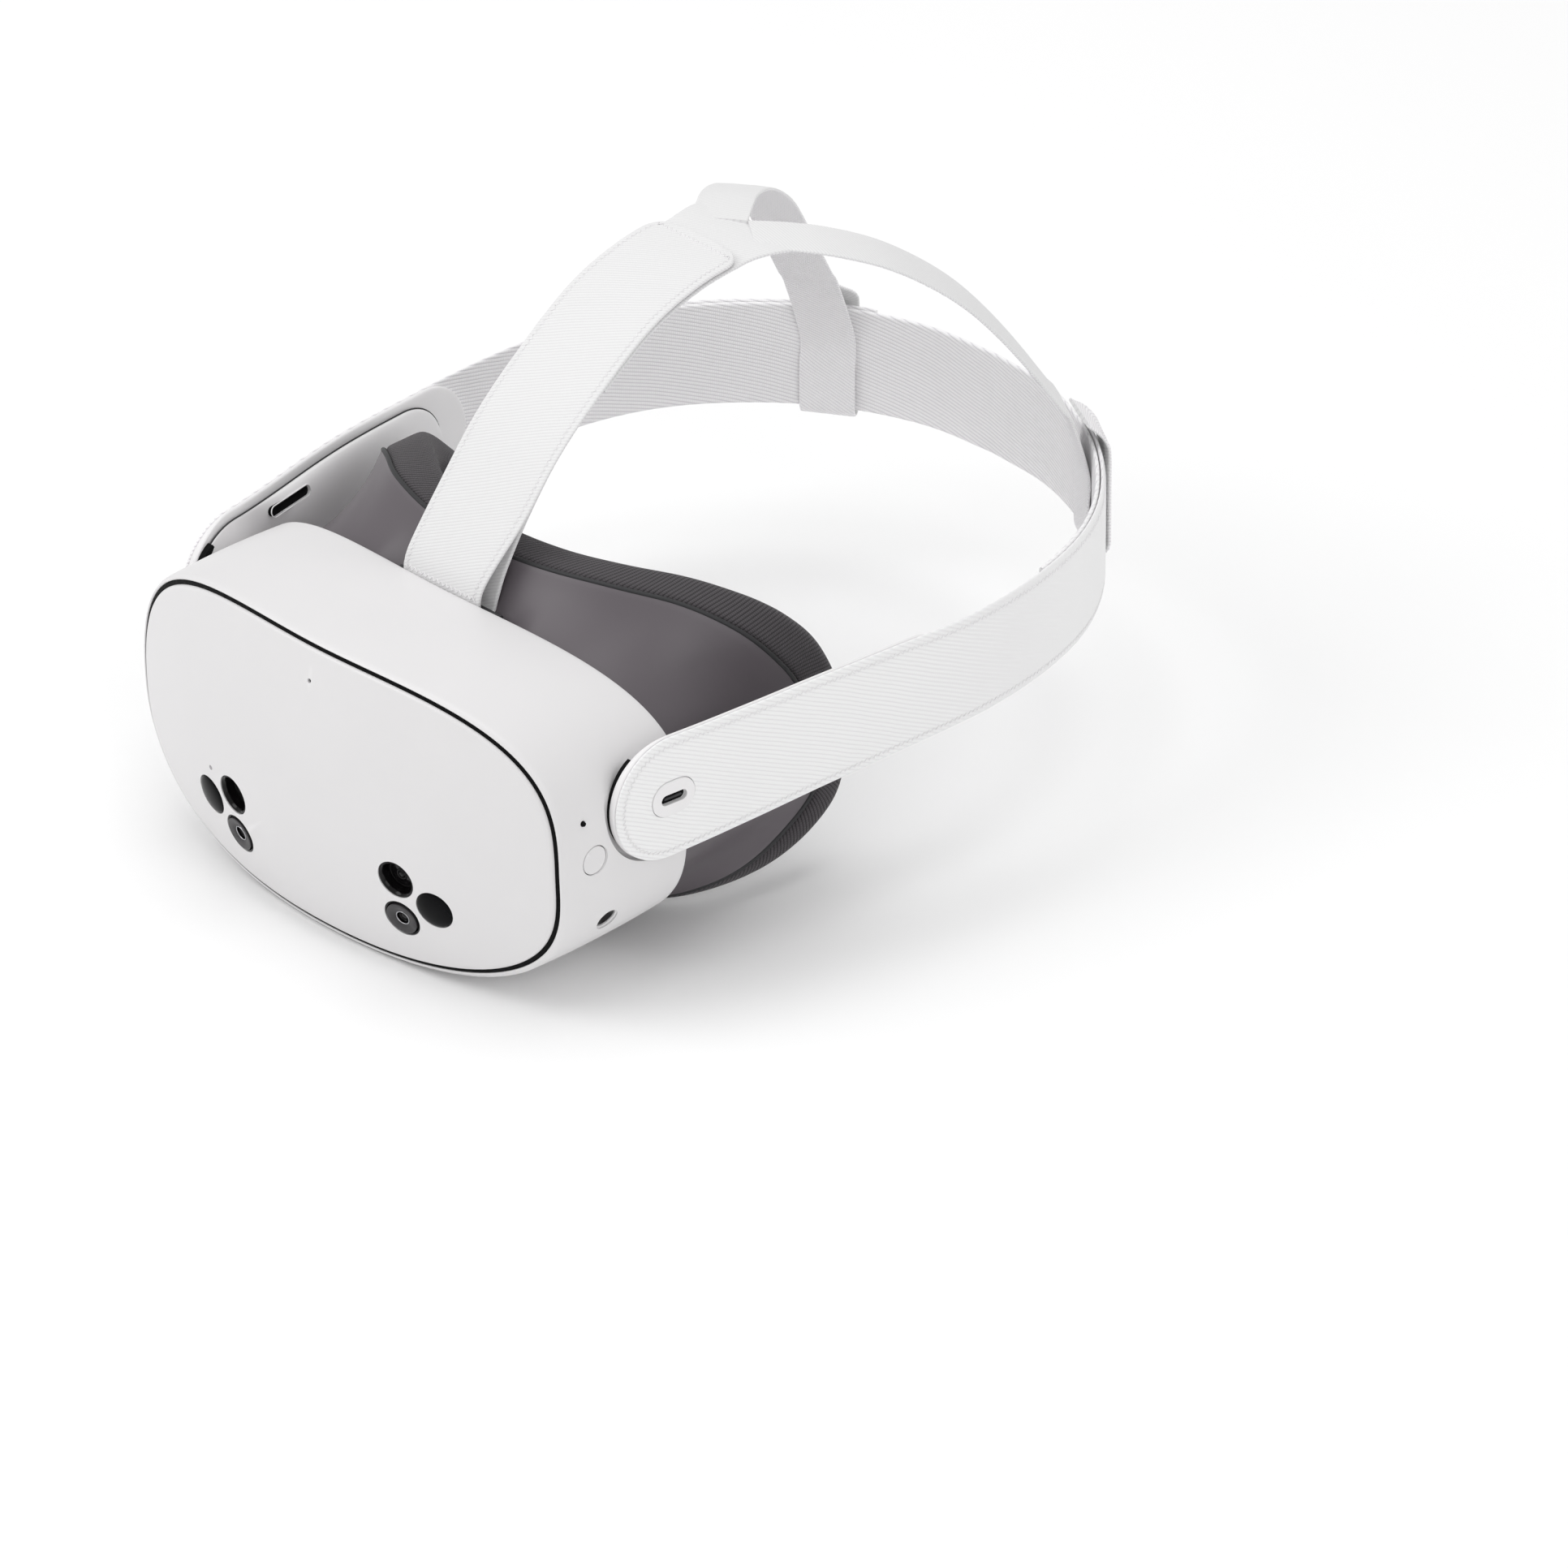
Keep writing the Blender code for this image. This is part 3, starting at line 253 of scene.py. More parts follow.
def moulded(name, colour, roughness, grain=0.35, relief=0.012, edge_highlight=0.04, **sockets):
    """Moulded plastic, or metal: a fine grain, uneven gloss and convex edges painted a little lighter as a
    painted highlight.
    """
    made, tree, shader = new_material(name, roughness, **sockets)
    where = node(tree, "ShaderNodeTexCoord").outputs["Object"]
    broad = noise(tree, where, 38.0, 3.0)
    edge = node(tree, "ShaderNodeNewGeometry").outputs["Pointiness"]
    mottled = blend_colours(tree, broad, tuple(part * 0.965 for part in colour), colour)
    # Painted highlight: convex edges, found by pointiness, are painted lighter where light would catch them.
    lighter = tuple(min(part + edge_highlight, 1.0) for part in colour)
    feed(shader, "Base Color",
         blend_colours(tree, ranged(tree, edge, 0.0, 1.0, 0.53, 0.62), mottled, lighter))
    feed(shader, "Roughness", ranged(tree, broad, roughness - 0.05, roughness + 0.05))
    add_relief(shader, noise(tree, where, 1 / (grain * MM), 3.0), relief)
    return made


def rounded_wave(tree, value):
    """0 in the grooves and 1 on the crests of ribs one unit apart."""
    middle = maths(tree, "SUBTRACT", maths(tree, "MULTIPLY", maths(tree, "FRACT", value), 2.0), 1.0)
    return maths(tree, "SUBTRACT", 1.0, maths(tree, "MULTIPLY", middle, middle))


def ribbed_cloth(name, colour, groove, pitch, stitch, angle, relief, stitch_share=0.35, roughness=0.88,
                 fade=None, sheen=0.2):
    """Knitted or woven cloth: rows of stitches in ribs, with painted shade in the grooves between them. Its
    map is in millimetres along and across the band.

    fade is (start, end, share): from start to end along the band, the ribs sink to that share.
    """
    made, tree, shader = new_material(name, roughness, Sheen_Weight=sheen, Sheen_Roughness=0.5)
    flat = node(tree, "ShaderNodeUVMap", uv_map="weave").outputs[0]
    sway = node(tree, "ShaderNodeTexNoise", (("Vector", flat), ("Scale", 0.05), ("Detail", 1.0)))
    pulled = node(tree, "ShaderNodeVectorMath", ((0, sway.outputs["Color"]), (1, (0.9, 0.9, 0.0))),
                  operation="MULTIPLY")
    drifted = node(tree, "ShaderNodeVectorMath", ((0, flat), (1, pulled.outputs[0])), operation="ADD")
    inputs = (("Vector", drifted.outputs[0]), ("Rotation", (0.0, 0.0, math.radians(angle))),
              ("Scale", (stitch, pitch, 1.0)))
    ribs = node(tree, "ShaderNodeMapping", inputs, vector_type="TEXTURE").outputs[0]
    split = node(tree, "ShaderNodeSeparateXYZ", ((0, ribs),))
    rib = rounded_wave(tree, split.outputs[1])
    shift = maths(tree, "MULTIPLY", maths(tree, "FLOOR", split.outputs[1]), 0.5)
    loop = rounded_wave(tree, maths(tree, "ADD", split.outputs[0], shift))
    fibre = noise(tree, flat, 6.0, 3.0)
    height = maths(tree, "ADD", maths(tree, "MULTIPLY", rib, 1 - stitch_share),
                   maths(tree, "MULTIPLY", maths(tree, "MULTIPLY", loop, rib), stitch_share))
    height = maths(tree, "ADD", height, maths(tree, "MULTIPLY", fibre, 0.18))
    if fade:
        along = node(tree, "ShaderNodeSeparateXYZ", ((0, flat),)).outputs[0]
        strength = ranged(tree, along, 1.0, fade[2], fade[0], fade[1])
        height = maths(tree, "MULTIPLY", height, strength)
    # Painted shade: the groove colour goes on the low places between ribs, and fades out where the ribs sink.
    light = ranged(tree, height, 0.0, 1.0, 0.12, 0.75)
    if fade:
        light = maths(tree, "MAXIMUM", light, maths(tree, "SUBTRACT", 1.0, strength))
    woven = blend_colours(tree, light, groove, colour)
    patchy = ranged(tree, noise(tree, flat, 0.03, 2.0), 0.0, 0.10)
    feed(shader, "Base Color", blend_colours(tree, patchy, woven, tuple(part * 0.8 for part in colour)))
    feed(shader, "Roughness", ranged(tree, fibre, roughness - 0.06, roughness + 0.06))
    add_relief(shader, height, relief)
    return made


def glossy(name, colour, roughness, specular=0.5):
    """Polished plastic or glass, with faint dust in its gloss."""
    made, tree, shader = new_material(name, roughness, Specular_IOR_Level=specular)
    dust = noise(tree, node(tree, "ShaderNodeTexCoord").outputs["Object"], 900.0, 3.0)
    feed(shader, "Roughness", ranged(tree, dust, roughness * 0.7, roughness * 1.5))
    feed(shader, "Base Color", blend_colours(tree, dust, colour, tuple(part * 1.25 for part in colour)))
    return made


def lens_material():
    """Coated acrylic with the fine concentric cut of a folded lens under it."""
    made, tree, shader = new_material("lens_acrylic", 0.05, Coat_Weight=0.8, Coat_Roughness=0.02, IOR=1.49)
    where = node(tree, "ShaderNodeUVMap", uv_map="weave").outputs[0]
    radius = node(tree, "ShaderNodeSeparateXYZ", ((0, where),)).outputs[1]
    tint = ranged(tree, radius, 0.0, 1.0, 0.0, LENS_RADIUS)
    feed(shader, "Base Color", blend_colours(tree, tint, (0.035, 0.030, 0.050), (0.085, 0.095, 0.125)))
    add_relief(shader, rounded_wave(tree, maths(tree, "MULTIPLY", radius, 0.9)), 0.01, 0.5)
    return made


SHELL = moulded("satin_shell", (0.755, 0.745, 0.750), 0.40)
# Painted light: the arms' white plastic is the shell's white made lighter, standing in for light the lamps
# don't bring to the arms.
ARM_SHELL_PAINTED_LIGHTER = moulded("satin_arm_painted_lighter", (0.85, 0.84, 0.845), 0.46, edge_highlight=0.0)
FRAME_GREY = moulded("satin_taupe", (0.110, 0.096, 0.107), 0.43, grain=0.3, relief=0.02, edge_highlight=0.03)
MATT_BLACK = moulded("matt_black", (0.016, 0.016, 0.018), 0.58, grain=0.4, relief=0.03, edge_highlight=0.02)
CONE_MAUVE = moulded("cone_mauve", (0.016, 0.0135, 0.016), 0.34, grain=0.2, relief=0.004, edge_highlight=0.01)
GLOSS_BLACK = glossy("gloss_black_glass", (0.002, 0.002, 0.0025), 0.08, specular=0.07)
CAMERA_GLASS = glossy("camera_glass", (0.004, 0.0035, 0.004), 0.10, specular=0.22)
DEEP_BLACK = glossy("deep_black", (0.0015, 0.0015, 0.0018), 0.55, specular=0.1)
LAMP_GREY = glossy("lamp_grey", (0.30, 0.29, 0.30), 0.25)
LENS = lens_material()
STEEL = moulded("brushed_steel", (0.52, 0.52, 0.54), 0.30, grain=0.15, relief=0.006, edge_highlight=0.05,
                Metallic=1.0)
ALUMINIUM = moulded("milled_aluminium", (0.68, 0.69, 0.71), 0.34, grain=0.2, relief=0.006, edge_highlight=0.05,
                    Metallic=1.0)
BOARD = moulded("circuit_board", (0.020, 0.105, 0.058), 0.42, grain=0.8, relief=0.05, edge_highlight=0.03)
FOIL = moulded("battery_wrap", (0.085, 0.085, 0.095), 0.38, grain=1.2, relief=0.04, edge_highlight=0.03)
OUTER_KNIT = ribbed_cloth("outer_knit", (0.90, 0.90, 0.90), (0.80, 0.79, 0.80), 1.35, 0.9, -26.0, 0.10,
                          stitch_share=0.25, fade=(95.0, 190.0, 0.22))
TOP_KNIT = ribbed_cloth("top_knit", (0.79, 0.79, 0.79), (0.70, 0.69, 0.70), 1.0, 0.8, 62.0, 0.07)
# The twill's diagonal runs the same way right round the inside, so each side's map turns it its own way
INNER_TWILL = {side: ribbed_cloth(f"inner_twill_{word}", (0.96, 0.95, 0.96), (0.72, 0.70, 0.73), 1.25, 0.7,
                                  14.0 * side, 0.18, stitch_share=0.4) for side, word in SIDES}
TAIL_TWILL = ribbed_cloth("tail_twill", (0.96, 0.95, 0.96), (0.76, 0.74, 0.77), 0.95, 0.7, 58.0, 0.16,
                          stitch_share=0.5)
TOP_CLOTHS = (TOP_KNIT, TAIL_TWILL)
CUSHION_CLOTH = ribbed_cloth("cushion_mesh", (0.064, 0.057, 0.063), (0.007, 0.006, 0.007), 1.25, 0.75,
                             58.0, 0.24, stitch_share=0.45, roughness=0.92, sheen=0.12)
THREAD = moulded("white_thread", (0.86, 0.85, 0.86), 0.80, grain=0.2, relief=0.05, edge_highlight=0.0)


# ---------------------------------------------------------------- meshes

def place(point):
    return (Vector(point) + ORIGIN) * MM


def unit(vector):
    return Vector(vector).normalized()


def link(name, data):
    """A new object in the scene."""
    made = bpy.data.objects.new(name, data)
    bpy.context.scene.collection.objects.link(made)
    return made


def transformed(shape, matrix):
    bmesh.ops.transform(shape, matrix=matrix, verts=shape.verts)
    return shape


def to_mesh(name, shape):
    """A bmesh as mesh data. The bmesh is used up."""
    mesh = bpy.data.meshes.new(name)
    shape.to_mesh(mesh)
    shape.free()
    return mesh


def smooth_shading(mesh, sharp):
    mesh.shade_smooth()
    mesh.set_sharp_from_angle(angle=math.radians(sharp))


def add_piece(name, shape, materials, body, nodes=(), sharp=35.0, turn=None):
    """A bmesh in visor millimetres as a piece that rides on a body and stands for CAD nodes."""
    if turn is not None:
        transformed(shape, turn)
    for vert in shape.verts:
        vert.co = place(vert.co)
    bmesh.ops.recalc_face_normals(shape, faces=shape.faces)
    mesh = to_mesh(name, shape)
    smooth_shading(mesh, sharp)
    for material in materials if isinstance(materials, (list, tuple)) else [materials]:
        mesh.materials.append(material)
    piece = link(name, mesh)
    if nodes:
        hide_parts(*nodes)
    if body:
        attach(piece, body)
    return piece


def add_turned(name, profile, material, nodes, at, axis, body="visor", steps=72, sharp=35.0):
    """A turned piece that stands at a point, along an axis."""
    return add_piece(name, turned(profile, steps), material, body, nodes, sharp, standing(at, axis))


def add_strap(name, shape, cloths, nodes=(), body="head_strap"):
    return add_piece(name, shape, cloths, body, nodes, sharp=60.0)


def add_trim(name, shape, material, body="head_strap"):
    """Stitches, seams and joint lines: thin round threads that stand for no CAD node."""
    return add_piece(name, shape, material, body, sharp=80.0)


def close_rows(shape, pairs):
    """Faces between pairs of closed rows of as many points."""
    for one, other in pairs:
        for i in range(len(one)):
            j = (i + 1) % len(one)
            shape.faces.new((one[i], one[j], other[j], other[i]))


def loft(loops, wrap=True, spots=None):
    """A bmesh of closed loops joined in order. spots gives its map: (along, across) in millimetres."""
    shape = bmesh.new()
    rows = [[shape.verts.new(point) for point in loop] for loop in loops]
    pairs = list(zip(rows, rows[1:]))
    if wrap:
        pairs.append((rows[-1], rows[0]))
    close_rows(shape, pairs)
    if not wrap:
        shape.faces.new(rows[0])
        shape.faces.new(rows[-1])
    if spots:
        write_map(shape, {vert: spot for row, line in zip(rows, spots) for vert, spot in zip(row, line)})
    return shape


def write_map(shape, spots):
    layer = shape.loops.layers.uv.new("weave")
    for face in shape.faces:
        for corner in face.loops:
            corner[layer].uv = spots[corner.vert]


def quarter(steps):
    """Angles from 0 to a right angle."""
    return [math.pi / 2 * step / steps for step in range(steps + 1)]


def half_turn(steps):
    return [math.pi * step / steps for step in range(steps + 1)]


def turned(profile, steps=72):
    """A turned shape round +z from (radius, height) pairs, from the top of its axis down its outer side."""
    shape = bmesh.new()
    rows = []
    spots = {}
    for radius, height in profile:
        row = []
        for i in range(1 if radius < 1e-6 else steps):
            turn = 2 * math.pi * i / steps
            row.append(shape.verts.new((radius * math.cos(turn), radius * math.sin(turn), height)))
            spots[row[-1]] = (2 * math.pi * radius * i / steps, radius)
        rows.append(row)
    for one, other in zip(rows, rows[1:]):
        for i in range(steps):
            j = (i + 1) % steps
            ring = [one[i % len(one)], other[i % len(other)], other[j % len(other)], one[j % len(one)]]
            corners = list(dict.fromkeys(ring))
            if len(corners) > 2:
                shape.faces.new(corners)
    write_map(shape, spots)
    return shape


def standing(at, axis):
    """The matrix that puts a shape made round +z at a point, along an axis."""
    turn = Vector((0, 0, 1)).rotation_difference(unit(axis))
    return Matrix.Translation(Vector(at)) @ turn.to_matrix().to_4x4()


def rounded_profile(points, radius=0.3, steps=4):
    """A (radius, height) outline with its corners rounded off."""
    made = [points[0]]
    for before, corner, after in zip(points, points[1:], points[2:]):
        corner, before, after = Vector(corner), Vector(before), Vector(after)
        size = min(radius, (corner - before).length / 2.2, (after - corner).length / 2.2)
        start = corner + (before - corner).normalized() * size
        end = corner + (after - corner).normalized() * size
        for step in range(steps + 1):
            t = step / steps
            made.append(tuple(start.lerp(corner, t).lerp(corner.lerp(end, t), t)))
    made.append(points[-1])
    return made


def pill(length, width, top, bottom, edge=0.5, steps=20):
    """A bar with round ends along x, from z = bottom to top, its upper edge rounded."""
    rings = [(0.0, bottom)]
    rings += [(edge * (1 - math.cos(turn)), top - edge + edge * math.sin(turn)) for turn in quarter(6)]
    rings += [(width * 0.3, top), (width * 0.46, top)]
    reach = length / 2 - width / 2
    loops = []
    for inset, height in rings:
        radius = width / 2 - inset
        loop = []
        for side in (1, -1):
            for step in range(steps + 1):
                turn = -math.pi / 2 + math.pi * step / steps + (0 if side > 0 else math.pi)
                loop.append((side * reach + radius * math.cos(turn), radius * math.sin(turn), height))
        loops.append(loop)
    return loft(loops, False)


def rounded_box(size, bevel, segments=3):
    shape = bmesh.new()
    bmesh.ops.create_cube(shape, size=1.0)
    bmesh.ops.scale(shape, vec=size, verts=shape.verts)
    bmesh.ops.bevel(shape, geom=shape.edges, offset=bevel, segments=segments, affect="EDGES", profile=0.5)
    return shape


def merge(shapes):
    """Several bmeshes as one, in the first."""
    whole = shapes[0]
    for other in shapes[1:]:
        scratch = to_mesh("scratch", other)
        whole.from_mesh(scratch)
        bpy.data.meshes.remove(scratch)
    return whole


def add_box(shape, at, size, bevel=0.15):
    merge([shape, transformed(rounded_box(size, bevel, 2), Matrix.Translation(at))])


def tangents(line):
    """The way along a line at each of its points."""
    last = len(line) - 1
    return [unit(line[min(i + 1, last)] - line[max(i - 1, 0)]) for i in range(len(line))]


def basis(*axes):
    """The matrix that turns x, y and z to three axes."""
    return Matrix(axes).transposed().to_4x4()


def tube(points, radius, sides=8, closed=False):
    """A round thread through points, with closed ends."""
    points = [Vector(point) for point in points]
    alongs = tangents(points)
    if closed:
        alongs = [unit(points[(i + 1) % len(points)] - points[i - 1]) for i in range(len(points))]
    loops = []
    side = unit(alongs[0].orthogonal())
    for point, along in zip(points, alongs):
        side = unit(side - along * side.dot(along))
        up = along.cross(side)
        loops.append([point + (side * math.cos(turn) + up * math.sin(turn)) * radius
                      for turn in (2 * math.pi * step / sides for step in range(sides))])
    return loft(loops, closed)


def cut(piece, shapes):
    """Takes closed shapes away from a piece."""
    for shape in shapes:
        bmesh.ops.recalc_face_normals(shape, faces=shape.faces)
        for vert in shape.verts:
            vert.co = place(vert.co)
        mesh = to_mesh("cutter", shape)
        tool = link("cutter", mesh)
        step = piece.modifiers.new("cut", "BOOLEAN")
        step.operation = "DIFFERENCE"
        step.solver = "EXACT"
        step.object = tool
        bpy.context.view_layer.update()
        graph = bpy.context.evaluated_depsgraph_get()
        done = bpy.data.meshes.new_from_object(piece.evaluated_get(graph))
        piece.modifiers.remove(step)
        old = piece.data
        piece.data = done
        bpy.data.meshes.remove(old)
        bpy.data.objects.remove(tool)
        bpy.data.meshes.remove(mesh)
    smooth_shading(piece.data, 30)


def moved(shape, at, axis):
    return transformed(shape, standing(at, axis))


def ease(part):
    part = min(max(part, 0.0), 1.0)
    return part * part * (3 - 2 * part)


def smooth_line(points, count):
    """Evenly spaced points on a Catmull-Rom curve through the given ones."""
    points = [Vector(point) for point in points]
    ends = [2 * points[0] - points[1], *points, 2 * points[-1] - points[-2]]
    fine = []
    for before, start, end, after in zip(ends, ends[1:], ends[2:], ends[3:]):
        for step in range(16):
            t = step / 16
            fine.append(0.5 * (2 * start + (end - before) * t
                               + (2 * before - 5 * start + 4 * end - after) * t * t
                               + (3 * start - 3 * end + after - before) * t ** 3))
    fine.append(points[-1])
    return spaced(fine, count)


def running_lengths(line):
    """How far along a line each of its points lies."""
    run = [0.0]
    for one, other in zip(line, line[1:]):
        run.append(run[-1] + (other - one).length)
    return run


def spaced(fine, count):
    """Evenly spaced points along a line of many short steps."""
    run = running_lengths(fine)
    line = []
    at = 0
    for step in range(count):
        want = run[-1] * step / (count - 1)
        while at < len(run) - 2 and run[at + 1] < want:
            at += 1
        part = (want - run[at]) / (run[at + 1] - run[at])
        line.append(fine[at].lerp(fine[at + 1], part))
    return line


class Track:
    """A band's outer face along its middle: evenly spaced points, with the way outwards at each."""

    def __init__(self, points, outwards):
        self.points = points
        self.outwards = outwards
        self.run = running_lengths(points)
        self.length = self.run[-1]

    def at(self, distance):
        """(point, along, outwards) at a distance from the start. Past either end it goes straight on."""
        step = self.length / (len(self.points) - 1)
        i = min(max(int(distance / step), 0), len(self.points) - 2)
        part = distance / step - i
        along = unit(self.points[i + 1] - self.points[i])
        clamped = min(max(part, 0.0), 1.0)
        point = self.points[i].lerp(self.points[i + 1], part)
        return point, along, unit(self.outwards[i].lerp(self.outwards[i + 1], clamped))

    def surface(self, distance, across, depth):
        point, along, outward = self.at(distance)
        return point + unit(along.cross(outward)) * across - outward * depth


def half_section(half, thickness, crown):
    """(across, depth) from the middle of the outer face round one edge to the middle of the inner face."""
    radius = thickness / 2
    flat = max(half - radius, 0.02)
    inward = [(flat * part, crown * ease((part * flat - flat + 4.0) / 4.0)) for part in
              (0.0, 0.2, 0.4, 0.55, 0.68, 0.78, 0.86, 0.92, 0.96)]
    edge = [(flat + radius * math.sin(turn), crown + (radius - crown / 2) * (1 - math.cos(turn)))
            for turn in half_turn(8)]
    back = [(across, thickness) for across, _ in reversed(inward)]
    return inward + edge + back


def band(surface, stations, half_at, thickness, crown=0.25, cap=None):
    """A strap over surface(distance, across, depth). A round front end starts at the distance cap."""
    shape = bmesh.new()
    spots = {}
    depths = {}

    def corner(distance, across, depth):
        made = shape.verts.new(surface(distance, across, depth))
        spots[made] = (distance, across)
        depths[made] = depth
        return made

    rows = []
    for distance in stations:
        half = half_section(half_at(distance), thickness, crown)
        middle = [corner(distance, 0.0, half[0][1]), corner(distance, 0.0, half[-1][1])]
        plus = [corner(distance, across, depth) for across, depth in half[1:-1]]
        minus = [corner(distance, -across, depth) for across, depth in half[1:-1]]
        rows.append([middle[0], *plus, middle[1], *reversed(minus)])
    close_rows(shape, zip(rows, rows[1:]))
    shape.faces.new(rows[-1])
    if cap is None:
        shape.faces.new(rows[0])
    else:
        start = rows[0]
        half = half_section(half_at(cap), thickness, crown)
        count = len(half) - 2
        arcs = [start[1:1 + count]]
        turns = 40
        for step in range(1, turns):
            turn = math.pi / 2 - math.pi * step / turns
            arcs.append([corner(cap - across * math.cos(turn), across * math.sin(turn), depth)
                         for across, depth in half[1:-1]])
        arcs.append(list(reversed(start[2 + count:])))
        for one, other in zip(arcs, arcs[1:]):
            for near, far, next_far, next_near in zip(one, one[1:], other[1:], other):
                shape.faces.new((near, far, next_far, next_near))
            shape.faces.new((start[0], one[0], other[0]))
            shape.faces.new((start[1 + count], one[-1], other[-1]))
    for face in shape.faces:
        middle_depth = sum(depths[vert] for vert in face.verts) / len(face.verts)
        face.material_index = int(middle_depth > thickness * 0.62)
    write_map(shape, spots)
    return shape


def zigzag(surface, path, width, pitch, radius=0.17, lift=0.02):
    """A row of zigzag stitches along path, a list of (distance, across) points."""
    line = [Vector((*point, 0.0)) for point in path]
    length = sum((other - one).length for one, other in zip(line, line[1:]))
    count = max(int(2 * length / pitch), 4)
    middle = spaced(line, count)
    points = []
    for i, point in enumerate(middle):
        along = unit(middle[min(i + 1, count - 1)] - middle[max(i - 1, 0)])
        side = Vector((-along.y, along.x, 0.0)) * (width / 2 * (1 if i % 2 else -1))
        points.append(surface(point.x + side.x, point.y + side.y, -lift))
    fine = []
    for one, other in zip(points, points[1:]):
        fine += [one, one.lerp(other, 0.5)]
    return tube(fine + [points[-1]], radius, 5)


# ---------------------------------------------------------------- visor shell

def oval(angle, half_width, top, bottom, power_top, power_bottom):
    along, up = math.cos(angle), math.sin(angle)
    power, height = (power_top, top) if up > 0 else (power_bottom, bottom)
    x = half_width * math.copysign(abs(along) ** (2 / power), along)
    z = height * math.copysign(abs(up) ** (2 / power), up)
    return x, z


def angles(count):
    """Steps round an oval, closer together where its sides are flat, so that its points lie evenly."""
    made = []
    for step in range(count):
        whole, part = divmod(4 * step / count, 1)
        eased = part - 0.14 * math.sin(2 * math.pi * part)
        made.append(math.pi / 2 * (whole + eased))
    return made


def plate_oval(angle, grow=0.0):
    return oval(angle, PLATE_HALF_WIDTH + grow, PLATE_TOP + grow, PLATE_BOTTOM + grow,
                PLATE_POWER_TOP, PLATE_POWER_BOTTOM)


def plate_y(x, z):
    return PLATE_BEND_X * x * x + PLATE_BEND_X4 * x ** 4 + PLATE_BEND_Z * z * z - PLATE_LEAN * z


def plate_axis(x, z):
    """The way out of the faceplate at a point."""
    return unit((2 * PLATE_BEND_X * x + 4 * PLATE_BEND_X4 * x ** 3, -1.0, 2 * PLATE_BEND_Z * z - PLATE_LEAN))


def rear_edge_y(x):
    return REAR_EDGE_Y + REAR_EDGE_BEND * (x / REAR_HALF_WIDTH) ** 2


def rear_oval(angle, side=0.0, height=0.0):
    return oval(angle, REAR_HALF_WIDTH - side, REAR_TOP - height, REAR_BOTTOM - height,
                REAR_POWER, REAR_POWER)


def housing_point(angle, part, side=0.0, height=0.0):
    """A point on the housing's wall: part runs from 0 at the front lip to 1 at the rear edge."""
    front_x, front_z = oval(angle, PLATE_HALF_WIDTH + 2.7 - side, PLATE_TOP + 2.6 - height,
                            PLATE_BOTTOM + 3.4 - height, PLATE_POWER_TOP, PLATE_POWER_BOTTOM)
    rear_x, rear_z = rear_oval(angle, side, height)
    swell = 4 * part * (1 - part)
    x = front_x + (rear_x - front_x) * part + math.copysign(0.5, front_x) * swell * abs(math.cos(angle))
    z = front_z + (rear_z - front_z) * part ** 2
    front_y = plate_y(front_x, front_z) + 1.8
    y = front_y + (rear_edge_y(x) - front_y) * part
    return Vector((x, y, max(z, GROUND + height)))


def window_cutter(x, z, radius=WINDOW_RADIUS, flare=0.45):
    """A cylinder square to the faceplate, widening where it meets the face."""
    profile = [(0.0, 12.0), (radius + 3.0, 12.0), (radius + 3.0, 0.9 * flare)]
    profile += [(radius + flare * (1 - math.sin(turn)), flare * (math.cos(turn) - 0.35))
                for turn in quarter(6)]
    profile += [(radius, -12.0), (0.0, -12.0)]
    return moved(turned(profile, 64), on_plate(x, z), plate_axis(x, z))


def on_plate(x, z):
    return Vector((x, plate_y(x, z), z))


def plate_loop(size=1.0, grow=0.0, back=0.0):
    """A loop a little behind the faceplate's surface, scaled down or grown from its outline."""
    ring = [plate_oval(angle, grow) for angle in angles(ROUND_STEPS)]
    return [(x * size, plate_y(x * size, z * size) + back, z * size) for x, z in ring]


def make_front_plate():
    loops = [plate_loop(size) for size in PLATE_RINGS]
    loops += [plate_loop(1.0, PLATE_EDGE * (math.sin(turn) - 1), PLATE_EDGE * (1 - math.cos(turn)))
              for turn in quarter(6)]
    loops += [plate_loop(size, 0.0, PLATE_THICKNESS) for size in (1.0, 0.7, 0.3, 0.02)]
    plate = add_piece("faceplate", loft(loops, False), SHELL, "visor", ["front_plate"])
    cutters = [window_cutter(side * x, z) for side, _ in SIDES
               for x, z in (TRACKING_WINDOW, PASSTHROUGH_WINDOW, LAMP_WINDOW)]
    cut(plate, cutters + [window_cutter(0.0, MICROPHONE_Z, 0.7, 0.12)])


def make_gap_seal():
    section = ((-0.3, 1.3), (0.1, 0.95), (0.6, 0.8), (1.28, 0.95), (1.28, 4.6), (-0.3, 4.6))
    loops = list(zip(*(plate_loop(1.0, grow, back) for grow, back in section)))
    add_piece("faceplate_seal", loft(loops), DEEP_BLACK, "visor", ["gap_seal"])


def pocket_cutter(side):
    """The round pocket for the strap's hinge, its mouth widening softly."""
    radius = POCKET_RADIUS
    profile = [(0.0, 14.0), (radius + 9.0, 14.0)]
    profile += [(radius + 1.2 * (1 - math.sin(turn)), 3.2 - 1.4 * (1 - math.cos(turn)))
                for turn in quarter(8)]
    profile += [(radius, 0.6), (radius - 0.6, 0.0), (0.0, 0.0)]
    return moved(turned(profile, 96), (side * POCKET_FLOOR_X, HINGE_Y, HINGE_Z), (side, 0, 0))


def button_cutter(radius, at, axis, flare=0.18):
    wide = radius + flare
    profile = [(0.0, 9.0), (wide, 9.0), (wide, flare), (radius + flare * 0.3, flare * 0.3), (radius, 0.0),
               (radius, -8.0), (0.0, -8.0)]
    return moved(turned(profile, 48), at, axis)


